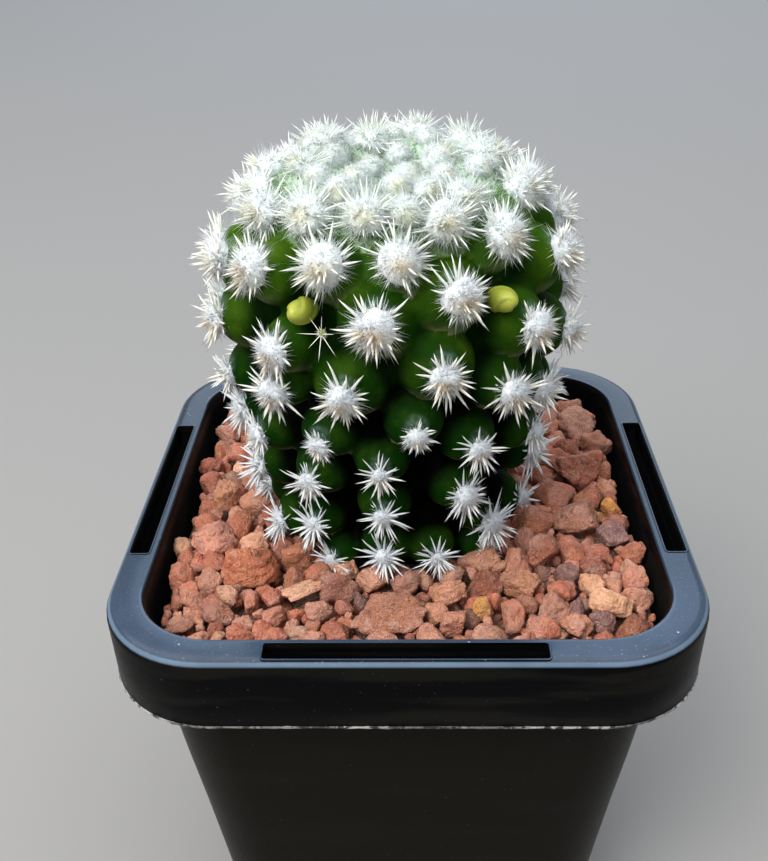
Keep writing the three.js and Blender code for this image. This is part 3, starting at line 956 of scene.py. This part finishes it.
# Other stones that stand out: middle in the pot, half sizes, degrees about the vertical, tone
knownStones = [
    ((-10.4, -22.6), (1.9, 1.5, 1.5), 20, "pink"), ((-25.9, -19.9), (1.7, 1.6, 1.6), 10, "salmon"),
    ((28.0, -17.0), (2.2, 2.0, 1.9), 30, "salmon"), ((-27.6, 5.0), (1.9, 1.7, 2.0), 0, "red"),
    ((-27.0, 19.6), (2.6, 1.6, 1.6), -20, "salmon"), ((-2.5, -28.2), (2.2, 1.2, 1.3), 0, "salmon"),
    ((12.4, -23.8), (1.5, 2.6, 1.7), 5, "red"), ((9.2, -22.4), (1.6, 1.5, 1.5), 50, "ochre"),
    ((15.6, -26.6), (2.1, 1.8, 1.8), 0, "red"), ((19.6, -25.6), (1.8, 2.0, 1.8), 25, "salmon"),
    ((25.8, 20.0), (3.0, 3.6, 2.4), 10, "pink"), ((21.6, 19.6), (2.3, 2.1, 2.0), 30, "salmon"),
    ((27.6, 13.6), (2.6, 2.1, 2.1), -15, "salmon"), ((-28.4, 9.8), (2.0, 1.7, 1.7), 20, "rust"),
    ((-24.6, 12.6), (2.5, 2.1, 2.0), -10, "red"), ((19.4, -16.4), (1.8, 1.9, 1.8), 45, "purple"),
    ((26.2, -8.6), (2.2, 2.0, 2.0), 15, "purple"), ((27.4, -2.0), (1.7, 1.7, 1.7), 0, "ochre"),
    ((-22.6, -22.6), (2.3, 1.5, 1.5), -12, "brown"), ((-26.4, -24.4), (1.9, 1.3, 1.3), 20, "brown"),
    ((-21.6, -20.0), (1.4, 1.5, 1.6), 0, "pink"), ((-18.6, -21.2), (1.1, 1.6, 1.7), 15, "salmon"),
    ((-20.6, -17.6), (1.4, 1.2, 1.3), 0, "grey"), ((-16.0, -20.6), (1.5, 1.3, 1.3), 0, "red"),
    ((-15.4, -23.4), (1.7, 1.5, 1.5), 30, "salmon"), ((-24.0, -27.0), (2.1, 1.2, 1.2), 5, "salmon"),
    ((-19.4, -26.6), (2.1, 1.3, 1.3), -5, "red"), ((-12.6, -26.4), (1.6, 1.2, 1.2), 0, "pink"),
    ((-10.8, -27.4), (1.6, 1.2, 1.2), 0, "salmon"), ((23.4, -14.6), (2.0, 1.6, 1.6), 20, "rust"),
    ((22.2, -18.4), (1.8, 1.5, 1.5), -20, "tan"), ((22.6, -24.8), (1.8, 1.4, 1.4), 0, "purple"),
    ((28.6, -11.8), (1.8, 1.8, 1.7), 0, "red"), ((-21.4, 5.6), (2.0, 1.8, 1.8), 0, "pink"),
    ((-28.0, -15.4), (1.7, 2.0, 1.6), 0, "red"), ((-29.0, -9.0), (1.4, 1.8, 1.5), 0, "tan"),
]

gravelLook = {
    "seed": 77, "inside": 29.6, "corner": 8.4, "top": 61.4, "facets": 10,
    "waves": [(1.5, 0.10), (3.1, 0.075), (6.3, 0.05), (12.7, 0.03)], "cracks": 0.10,
    "layers": [
        {"count": 90, "sizes": (2.0, 3.0), "sink": 0.9, "room": 0.76},
        {"count": 200, "sizes": (1.35, 2.0), "sink": 1.0, "room": 0.72},
        {"count": 330, "sizes": (0.60, 1.2), "sink": 0.6, "room": 0.66},
        {"count": 190, "sizes": (1.4, 2.4), "sink": 3.4, "room": 0.72},
    ],
}


# How high the gravel lies: lower along the left wall, higher at the back
def gravelHeight(x, y):
    return gravelLook["top"] - 0.9 * max(-x - 18, 0) / 12 + 0.5 * max(y - 16, 0) / 12


def insidePot(x, y, margin):
    half = gravelLook["inside"] - margin
    corner = max(gravelLook["corner"] - margin, 0.5)
    away = np.hypot(max(abs(x) - half + corner, 0), max(abs(y) - half + corner, 0))
    return abs(x) <= half and abs(y) <= half and away <= corner


# A broken stone: a ball cut back by random flat faces, then lumped, roughened and cracked
def stoneShape(level, half, turn, tilt, random):
    points, faces = balls[level]
    count = gravelLook["facets"]
    normals = random.normal(0, 1, (count, 3))
    normals /= np.linalg.norm(normals, axis=1, keepdims=True)
    offsets = random.uniform(0.52, 0.92, count)
    facing = np.maximum(points @ normals.T, 0.05)
    radius = ((offsets / facing) ** -16.0).sum(axis=1) ** (-1 / 16.0)
    radius = np.minimum(radius, 1.05)
    shift = random.uniform(0, 30, 3)
    rough = np.zeros(len(points))
    for frequency, amount in gravelLook["waves"]:
        rough += amount * lumps(points * radius[:, None] * frequency + shift)
    cracks = (1 - np.abs(lumps(points * 2.3 + shift + 9))) ** 7 * gravelLook["cracks"]
    shape = points * (radius * (1 + rough - cracks))[:, None]
    shape = shape / np.abs(shape).max(axis=0) * half
    spin = Matrix.Rotation(turn, 3, "Z") @ Matrix.Rotation(tilt, 3, "X")
    return shape @ np.array(spin).T, faces, np.clip(0.5 - 2.6 * rough + 5 * cracks, 0, 1)


def addStone(bag, level, place, half, turn, tilt, tone, random):
    points, faces, hollow = stoneShape(level, np.array(half), turn, tilt, random)
    base = np.array(stoneTones[tone]) * random.uniform(0.84, 1.16) * random.uniform(0.95, 1.05, 3)
    tones = np.tile(base, (len(points), 1))
    bag.add(points + place, faces, tone=tones, stone=random.uniform(0, 50), hollow=hollow)


def stoneSkin():
    shader = Shader("lavaStone")
    tone = shader.attribute("tone", "Color")
    shift = shader.attribute("stone")
    hollow = shader.attribute("hollow")
    place = shader.node("VectorMath", {"operation": "ADD"}, {
        0: shader.place(), 1: shader.node("CombineXYZ", None, {0: shift, 1: shift * 0.7, 2: shift * 1.3})})
    broad = shader.noise(420, 5, 0.68, place)
    grain = shader.noise(1900, 4, 0.72, place)
    grit = shader.noise(4200, 3, 0.6, place)
    patch = shader.noise(260, 3, 0.6, place)
    body = shader.tint(tone, 0.62 + broad * 1.56)
    warmer = shader.mix((broad.step(0.46, 0.66) * 0.45).clamp(), body, shader.tint(tone, 1.32 + grain * 0.56))
    orange = shader.mix((patch.step(0.46, 0.34) * 0.40).clamp(), warmer, colour(0.56, 0.250, 0.122))
    dusty = shader.mix(((patch - 0.50) * 3.0).clamp(0, 0.6), orange, colour(0.58, 0.358, 0.278))
    ridge = (1 - hollow.step(0.18, 0.46)) * (0.35 + grain.step(0.40, 0.60) * 0.65)
    worn = shader.mix(ridge * 0.55, dusty, colour(0.72, 0.450, 0.346))
    # Dark pits, and painted shade in the stones' hollows and cracks
    pitsAndHollowShade = grain.step(0.46, 0.34) * 0.38 + grit.step(0.42, 0.32) * 0.30 + hollow.step(0.62, 1.0) * 0.30
    dark = shader.mix(pitsAndHollowShade.clamp(), worn, shader.tint(body, 0.34))
    light = shader.mix(grit.step(0.57, 0.70) * 0.55, dark, colour(0.80, 0.57, 0.46))
    height = broad * 0.8 + grain * 1.0 + grit * 0.6
    normal = shader.bump(height, 0.00070, 1.0)
    return shader.surface(Base_Color=light, Roughness=0.95, Normal=normal, Specular_IOR_Level=0.2)


# Finer stones, and those far back, get fewer faces
def levelFor(size, y):
    if size > 1.6 and y < -5:
        return 4
    return 3 if size > 1.1 or (size > 0.85 and y < -5) or y < -14 else 2


def makeGravel():
    skin = stoneSkin()
    random = np.random.default_rng(gravelLook["seed"])
    placed = []
    for index, (middle, half, turn, tilt, tone) in enumerate(nodeStones):
        bag = Bag()
        addStone(bag, 5, np.array(middle), half, math.radians(turn), math.radians(tilt), tone, random)
        makePiece(f"stone{index + 1:02d}", bag, skin, [f"stone_{index + 1:02d}"])
        placed.append((*middle, max(half[0], half[1])))
    bags = {side: Bag() for side in ("frontLeft", "frontRight", "backLeft", "backRight")}

    def bagFor(x, y):
        return bags[("front" if y < -8 else "back") + ("Left" if x < 0 else "Right")]

    for (x, y), half, turn, tone in knownStones:
        place = np.array((x, y, gravelHeight(x, y) + 0.35 * half[2]))
        tilt = random.uniform(-0.3, 0.3)
        addStone(bagFor(x, y), 4, place, half, math.radians(turn), tilt, tone, random)
        placed.append((*place, max(half[0], half[1])))
    tones = list(toneWeights)
    weights = np.array(list(toneWeights.values()), float)
    for layer in gravelLook["layers"]:
        low, high = layer["sizes"]
        made = 0
        for _ in range(layer["count"] * 60):
            if made == layer["count"]:
                break
            size = low + (high - low) * random.uniform() ** 1.5
            x, y = random.uniform(-gravelLook["inside"], gravelLook["inside"], 2)
            z = gravelHeight(x, y) - layer["sink"] + 0.45 * size + random.uniform(-0.3, 0.3)
            fromStem = np.hypot(x - plantPlace[0], y - plantPlace[1])
            if not insidePot(x, y, 0.85 * size) or fromStem < 14.5 + 0.6 * size:
                continue
            near = np.array(placed)
            apart = np.linalg.norm(near[:, :3] - (x, y, z), axis=1)
            if (apart < layer["room"] * (near[:, 3] + size)).any():
                continue
            half = size * random.uniform(0.72, 1.18, 3)
            tone = random.choice(tones, p=weights / weights.sum())
            turn, tilt = random.uniform(0, 6.28), random.uniform(-0.6, 0.6)
            addStone(bagFor(x, y), levelFor(size, y), np.array((x, y, z)), half, turn, tilt, tone, random)
            placed.append((x, y, z, size))
            made += 1
        print("gravel layer", made, "stones")
    for side, bag in bags.items():
        replaced = ["gravel_bed"] if side == "frontLeft" else []
        piece = makePiece(side + "Gravel", bag, skin, replaced)
        print(piece.name, len(piece.data.polygons), "faces")


makeGravel()

# Buds and the young offset
budLook = {
    "buds": {"flower_bud_left": (-29, 41, 2.0), "flower_bud_right": (39, 41.2, 2.0)},
    "radius": 1.42, "length": 2.15, "scales": 3, "overlap": 0.16,
    "colour": (0.36, 0.39, 0.040), "shade": (0.12, 0.18, 0.015),
}


def budSkin(look):
    shader = Shader("budSkin")
    share = shader.attribute("share")
    patches = shader.noise(500, 2)
    base = shader.mix(share + patches * 0.3 - 0.15, colour(*look["shade"]), colour(*look["colour"]))
    normal = shader.bump(patches, 0.0001, 0.3)
    return shader.surface(
        Base_Color=base, Roughness=0.42, Normal=normal, Subsurface_Weight=0.15, Subsurface_Scale=0.0006,
    )


def makeBuds(look):
    skin = budSkin(look)
    points, faces = balls[4]
    for node, (turn, along, depth) in look["buds"].items():
        one = tubercleFrame(turn, along)
        basis = np.array([one["side"], one["up"], one["direction"]])
        turn = np.arctan2(points[:, 1], points[:, 0]) / (2 * np.pi)
        saw = (look["scales"] * turn + 0.9 * points[:, 2]) % 1
        overlap = look["overlap"] * (np.minimum(saw, 8 * (1 - saw)) - 0.5) * (1 - points[:, 2] ** 4)
        point = 1 + 0.10 * np.maximum(points[:, 2], 0) ** 6
        size = np.array((look["radius"], look["radius"], look["length"]))
        shape = points * ((1 + overlap) * point)[:, None] * size
        bag = Bag()
        centre = one["place"] - one["direction"] * depth
        fold = np.minimum(saw / 0.12, 12 * (1 - saw)).clip(0, 1)
        share = (0.55 + 0.45 * points[:, 2]) * (0.45 + 0.55 * fold)
        bag.add(toPot(shape @ basis + centre), faces, share=share)
        makePiece("flowerBud" + node.split("_")[-1].capitalize(), bag, skin, [node])


makeBuds(budLook)

offsetLook = {
    "turn": -21, "along": 39, "seed": 9, "sunk": 1.6, "ball": 0.45, "lumps": 0.15,
    "spines": 7, "jitter": 0.4, "lift": (5, 45), "rootOut": 0.2, "rootUp": 0.3, "length": (1.4, 3.1),
    "width": 0.09, "hairs": 90, "hairLength": (0.6, 1.0), "hairWidth": 0.06,
}


def makeOffset(look):
    one = {**tubercleFrame(look["turn"], look["along"]), "young": True}
    random = np.random.default_rng(look["seed"])
    centre = one["place"] - one["direction"] * look["sunk"]
    points, faces = balls[3]
    shape = points * (1 + look["lumps"] * lumps(points * 3))[:, None] * look["ball"]
    body = Bag()
    # Its body takes mostly the buds' shade colour, a painted shade
    body.add(toPot(shape + centre), faces, share=0.2)
    makePiece("youngOffset", body, bpy.data.materials["budSkin"], ["young_offset"])
    count = look["spines"]
    around = np.arange(count) / count * 2 * np.pi + random.uniform(-look["jitter"], look["jitter"], count)
    lift = np.radians(random.uniform(*look["lift"], count))
    directions = spread(one, around, lift)
    roots = centre + directions * look["rootOut"] + one["direction"] * look["rootUp"]
    tips = roots + directions * random.uniform(*look["length"], count)[:, None]
    widths = np.full(count, look["width"])
    points, faces, shares = needles(roots, tips, widths, spineLook["sides"], spineLook["profile"])
    bag = Bag()
    addShape(bag, one, points, faces, shares, 0.0, 0.0)
    # Short pale hairs over its base
    hairs = look["hairs"]
    directions = spread(one, random.uniform(-np.pi, np.pi, hairs), np.arcsin(random.uniform(0, 1, hairs)))
    tips = centre + directions * random.uniform(*look["hairLength"], (hairs, 1))
    addHairs(bag, one, centre + directions * look["rootOut"], tips, np.full(hairs, look["hairWidth"]))
    makePiece("youngOffsetSpines", bag, bpy.data.materials["spines"])


makeOffset(offsetLook)

# Pot: half width, corner radius and height of each line round it, from the floor's middle outward,
# up the outside, over the rim and down the inside
potLook = {
    "cornerSteps": 14, "sideSteps": 10,
    "outside": [
        (20.0, 5.0, 0.0), (23.3, 7.0, 0.0), (24.0, 7.4, 0.2), (24.4, 7.6, 0.8), (25.5, 7.9, 10),
        (26.6, 8.2, 20), (27.7, 8.4, 30), (28.9, 8.7, 40), (30.0, 9.0, 50), (30.6, 9.2, 56),
        (31.45, 9.4, 63.7), (31.7, 9.6, 63.95),
    ],
    "rim": [
        (33.5, 11.6, 63.95), (33.85, 11.8, 63.6), (33.9, 11.9, 60), (33.9, 11.9, 56.0), (34.0, 12.0, 55.6),
        (34.3, 12.3, 55.5), (34.7, 12.6, 55.52), (34.82, 12.75, 55.7), (34.9, 12.85, 59), (35.0, 12.9, 63.8),
        (34.95, 12.85, 64.2), (34.78, 12.7, 64.55), (34.5, 12.4, 64.82), (34.15, 12.0, 64.96),
        (33.7, 11.6, 65.0), (31.4, 9.6, 65.0), (31.0, 9.3, 64.95), (30.8, 9.1, 64.75),
    ],
    "inside": [
        (30.6, 9.0, 64.0), (30.0, 8.8, 60), (28.4, 8.4, 45), (26.0, 7.8, 25), (23.5, 7.0, 1.6),
        (23.0, 6.6, 1.2), (19, 5, 1.2),
    ],
    "slot": {"half": 15.5, "inner": 31.66, "outer": 34.14, "corner": 0.35},
    "lip": {"width": 0.26, "height": 0.10}, "straight": 22.1,
    "drains": 13.0, "drainRadius": 2.5,
    "black": (0.0012, 0.0014, 0.0019), "dustAndSkyReflection": (0.034, 0.058, 0.100), "speck": (0.50, 0.53, 0.56),
    "edge": (0.118, 0.170, 0.238), "band": (0.0075, 0.0070, 0.0055), "dull": (0.0065, 0.0058, 0.0040),
    "flash": {
        "top": 55.64, "bottom": 55.40, "out": 34.88, "in": 34.55, "outCorner": 12.85, "inCorner": 12.5,
        "seed": 21, "ragged": 0.24, "colour": (0.34, 0.33, 0.31), "gaps": (0.012, 0.012, 0.013),
    },
}


def squareLine(half, corner, steps, sides):
    straight = half - corner
    points = []
    for quarter in range(4):
        angles = [math.pi / 2 * (quarter + i / steps) for i in range(steps + 1)]
        centre = np.array((1, 1) if quarter % 2 == 0 else (-1, 1)) * (1 if quarter < 2 else -1) * straight
        points += [centre + corner * np.array((math.cos(angle), math.sin(angle))) for angle in angles]
        ahead = np.array((-centre[1], centre[0]))
        turn = angles[-1]
        end = ahead + corner * np.array((math.cos(turn), math.sin(turn)))
        points += [points[-1] + (end - points[-1]) * i / sides for i in range(1, sides)]
    return np.array(points)


def loftedMesh(name, lines, closed=False):
    around = len(lines[0])
    points = [tuple(point * mm) for line in lines for point in line]
    faces = []
    starts = [ring * around for ring in range(len(lines))] + ([0] if closed else [])
    for low, high in zip(starts, starts[1:]):
        faces += [(low + i, low + (i + 1) % around, high + (i + 1) % around, high + i) for i in range(around)]
    if not closed:
        faces.append(tuple(reversed(range(around))))
        faces.append(tuple(range(len(points) - around, len(points))))
    mesh = bpy.data.meshes.new(name)
    mesh.from_pydata(points, [], faces)
    piece = bpy.data.objects.new(name, mesh)
    bpy.context.collection.objects.link(piece)
    return piece


# A rounded rectangle seen from above, turned to one side of the pot
def slotLine(side, grow, z):
    slot = potLook["slot"]
    corner = slot["corner"] + max(grow, 0)
    halfX, halfY = slot["half"] + grow, (slot["outer"] - slot["inner"]) / 2 + grow
    middle = (slot["outer"] + slot["inner"]) / 2
    points = []
    for quarter, (signX, signY) in enumerate(((1, 1), (-1, 1), (-1, -1), (1, -1))):
        for i in range(5):
            angle = math.pi / 2 * (quarter + i / 4)
            points.append((signX * (halfX - corner) + corner * math.cos(angle),
                           middle + signY * (halfY - corner) + corner * math.sin(angle), z))
    turn = np.array(Matrix.Rotation(math.pi / 2 * side, 3, "Z"))
    return np.array(points) @ turn.T


def cut(piece, tool, operation):
    modifier = piece.modifiers.new("cut", "BOOLEAN")
    modifier.operation = operation
    modifier.solver = "EXACT"
    modifier.object = tool
    bakeModifiers(piece)
    bpy.data.objects.remove(tool)


def potSkin(look):
    shader = Shader("blackPlastic")
    place = shader.place()
    parts = [shader.node("SeparateXYZ", None, {0: place}, axis) for axis in ("X", "Y", "Z")]
    height = parts[2]
    facing = shader.node("SeparateXYZ", None, {0: shader.node("NewGeometry", out="Normal")}, "Z")
    upward = facing.step(0.72, 0.98)
    straight = look["straight"] * mm
    past = [(part.math("ABSOLUTE") - straight).math("MAXIMUM", 0.0) for part in parts[:2]]
    side = (past[0] * past[0] + past[1] * past[1]) ** 0.5 + straight
    recessShade = side.step(0.0313, 0.0316) * (1 - side.step(0.0342, 0.0343)) * (1 - height.step(0.0640, 0.0647))
    # Painted highlights: a bluish line along the rim's outer rounded edge, and a thin one along its inner
    # edge
    edge = facing.step(0.40, 0.62) * (1 - facing.step(0.78, 0.93)) * side.step(0.0336, 0.0342)
    edge = edge * height.step(0.0634, 0.0641)
    inner = side.step(0.03070, 0.03090) * (1 - side.step(0.03105, 0.03130)) * height.step(0.0645, 0.0648)
    clouds = shader.noise(150, 4, 0.6)
    scuffs = shader.noise(900, 3, 0.65)
    flat = shader.node("VectorMath", {"operation": "MULTIPLY"}, {0: place, 1: (0.3, 0.3, 2.0)})
    reflectionBands = shader.noise(170, 3, 0.5, flat).step(0.48, 0.66)
    specks = 1 - shader.cells(900).step(0.05, 0.12)
    few = shader.noise(70, 2).step(0.50, 0.60)
    crumbs = 1 - shader.cells(420).step(0.03, 0.07)
    below = 1 - height.step(0.050, 0.0555)
    base = shader.mix(below, colour(*look["black"]), colour(*look["dull"]))
    # Faint horizontal bands over the pot's sides: painted reflections
    base = shader.mix(reflectionBands * 0.8, base, colour(*look["band"]))
    # Dust and a painted bluish sky reflection on the rim's top; away from the front there is less of it, and
    # the rim is painted darker there as shade
    behind = parts[1].step(-0.032, -0.006) * 0.4 + parts[1].step(-0.018, 0.012) * 0.25
    base = shader.mix(upward * (0.45 + clouds * 0.8) * (1 - behind), base, colour(*look["dustAndSkyReflection"]))
    # Painted highlights along the outer and inner edges of the rim
    base = shader.mix((edge * (0.55 + clouds * 0.6) + inner * 0.2).clamp(), base, colour(*look["edge"]))
    grains = shader.noise(3200, 2).step(0.60, 0.78)
    base = shader.mix(grains * upward * 0.16, base, colour(*look["speck"]))
    base = shader.mix((specks * few * 0.7 + crumbs) * (0.05 + upward * 0.65), base, colour(*look["speck"]))
    # The slot walls and the hollow under the rim are painted black: painted shade
    base = shader.mix(recessShade, base, colour(0.0008, 0.0008, 0.0008))
    # The inner wall above the gravel is dull
    inWall = (1 - side.step(0.0303, 0.0306)) * height.step(0.056, 0.057)
    gloss = ((upward * 0.75 + 0.02) * (1 - edge * 0.8) * (1 - recessShade) * (1 - inWall)).clamp()
    normal = shader.bump(scuffs * 0.6 + clouds, 0.00006, 0.35)
    return shader.surface(
        Base_Color=base, Roughness=(0.30 + scuffs * 0.12 + recessShade * 0.5 + inWall * 0.6).clamp(),
        Normal=normal, Specular_IOR_Level=0.04, Coat_Weight=gloss, Coat_Roughness=0.16,
    )


# A pale ragged line of flash along the skirt's lower edge
def makeFlash(look):
    random = np.random.default_rng(look["seed"])
    outer = squareLine(look["out"], look["outCorner"], 48, 60)
    inner = squareLine(look["in"], look["inCorner"], 48, 60)
    count = len(outer)
    along = np.linspace(0, 2 * np.pi, count, endpoint=False)
    wander = sum(np.sin(along * k + phase) for k, phase in ((7, 1), (17, 2), (31, 4))) / 3
    ragged = random.uniform(0, 1, count) ** 3 * look["ragged"] + 0.06 * np.maximum(wander, 0)
    out = outer * (1 + 0.0024 * random.uniform(0, 1, (count, 1)) ** 2)
    lines = [
        np.column_stack([inner, np.full(count, look["top"])]),
        np.column_stack([outer * 0.999, look["top"] - 0.10 + ragged]),
        np.column_stack([out, look["top"] - 0.14 + 0.6 * ragged]),
        np.column_stack([out, look["bottom"] + 0.03 - 0.4 * ragged]),
        np.column_stack([inner, np.full(count, look["bottom"])]),
    ]
    ring = loftedMesh("mouldFlash", lines[::-1], closed=True)
    shader = Shader("paleFlash")
    mottle = shader.noise(900, 4, 0.7)
    broken = mottle.step(0.40, 0.52) * (0.25 + shader.noise(140, 2).step(0.40, 0.60) * 0.75)
    base = shader.mix(broken, colour(*look["gaps"]), colour(*look["colour"]))
    ring.data.materials.append(shader.surface(Base_Color=base, Roughness=0.7))
    return dress(ring)


def makePot(look):
    steps, sides = look["cornerSteps"], look["sideSteps"]
    lines = []
    for half, corner, z in look["outside"] + look["rim"] + look["inside"]:
        flat = squareLine(half, corner, steps, sides)
        lines.append(np.concatenate([flat, np.full((len(flat), 1), z)], axis=1))
    pot = loftedMesh("nurseryPot", lines)
    width, height = look["lip"]["width"], look["lip"]["height"]
    rings = [
        (0.0, 64.7), (0.0, 65.0 + 0.7 * height), (0.3 * width, 65.0 + height),
        (0.7 * width, 65.0 + height * 0.8), (width, 64.95), (width, 64.7),
    ]
    for side in range(4):
        ridge = loftedMesh("ridge", [slotLine(side, grow, z) for grow, z in reversed(rings)], closed=True)
        cut(pot, ridge, "UNION")
        hole = loftedMesh("hole", [slotLine(side, 0.0, 62.0), slotLine(side, 0.0, 66.0)])
        cut(pot, hole, "DIFFERENCE")
    for x, y in ((-1, -1), (1, -1), (1, 1), (-1, 1)):
        angles = 2 * np.pi * np.arange(32) / 32
        ring = np.stack([np.cos(angles), np.sin(angles), np.zeros(32)], axis=1) * look["drainRadius"]
        middle = np.array([x, y, 0]) * look["drains"]
        drain = loftedMesh("drain", [ring + middle + (0, 0, -2), ring + middle + (0, 0, 3)])
        cut(pot, drain, "DIFFERENCE")
    pot.data.polygons.foreach_set("use_smooth", np.full(len(pot.data.polygons), True))
    pot.data.set_sharp_from_angle(angle=math.radians(38))
    pot.data.materials.clear()
    pot.data.materials.append(potSkin(look))
    return dress(pot, ["pot"])


pot = makePot(potLook)
makeFlash(potLook["flash"])
print("pot", len(pot.data.polygons), "faces")

# The layer under the stones: fine dark grit that closes the gaps between them
gritLook = {"top": 59.2, "bottom": 52.6, "rough": 0.6, "half": 29.4, "corner": 8.4, "rings": 24}


def makeGrit(look):
    random = np.random.default_rng(5)
    line = squareLine(look["half"], look["corner"], 14, 22)
    count = len(line)
    points, faces = [], []
    levels = [(look["bottom"], 0.0)] + [(look["top"], look["rough"])] * look["rings"]
    shares = [1.0] + [1 - i / look["rings"] for i in range(look["rings"])]
    for (z, rough), share in zip(levels, shares):
        heights = z + rough * random.uniform(-1, 1, count)
        points.append(np.column_stack([line * share * (0.985 if z == look["bottom"] else 1), heights]))
    points = np.concatenate(points + [[[0, 0, look["top"]]], [[0, 0, look["bottom"]]]])
    around = np.arange(count)
    after = (around + 1) % count
    for ring in range(len(levels) - 1):
        faces += band(ring * count, (ring + 1) * count, count)
    last = (len(levels) - 1) * count
    faces.append(np.stack([last + around, last + after, np.full(count, len(points) - 2)], axis=1))
    faces.append(np.stack([after, around, np.full(count, len(points) - 1)], axis=1))
    bag = Bag()
    tone = np.tile((0.085, 0.036, 0.024), (len(points), 1))
    bag.add(points, np.concatenate(faces), tone=tone, stone=3.0, hollow=0.3)
    makePiece("fineGrit", bag, bpy.data.materials["lavaStone"])


makeGrit(gritLook)


# Soil, which shows only through the drain holes
def soilSkin():
    shader = Shader("soil")
    crumbs = shader.cells(900)
    broad = shader.noise(400, 4)
    base = shader.ramp(broad, [(0.3, (0.02, 0.013, 0.009)), (0.7, (0.075, 0.048, 0.03))])
    return shader.surface(Base_Color=base, Roughness=0.95, Normal=shader.bump(crumbs + broad, 0.0004, 0.8))


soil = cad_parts["potting_mix"]
soilMaterial = soilSkin()
for slot in soil.material_slots:
    slot.material = soilMaterial
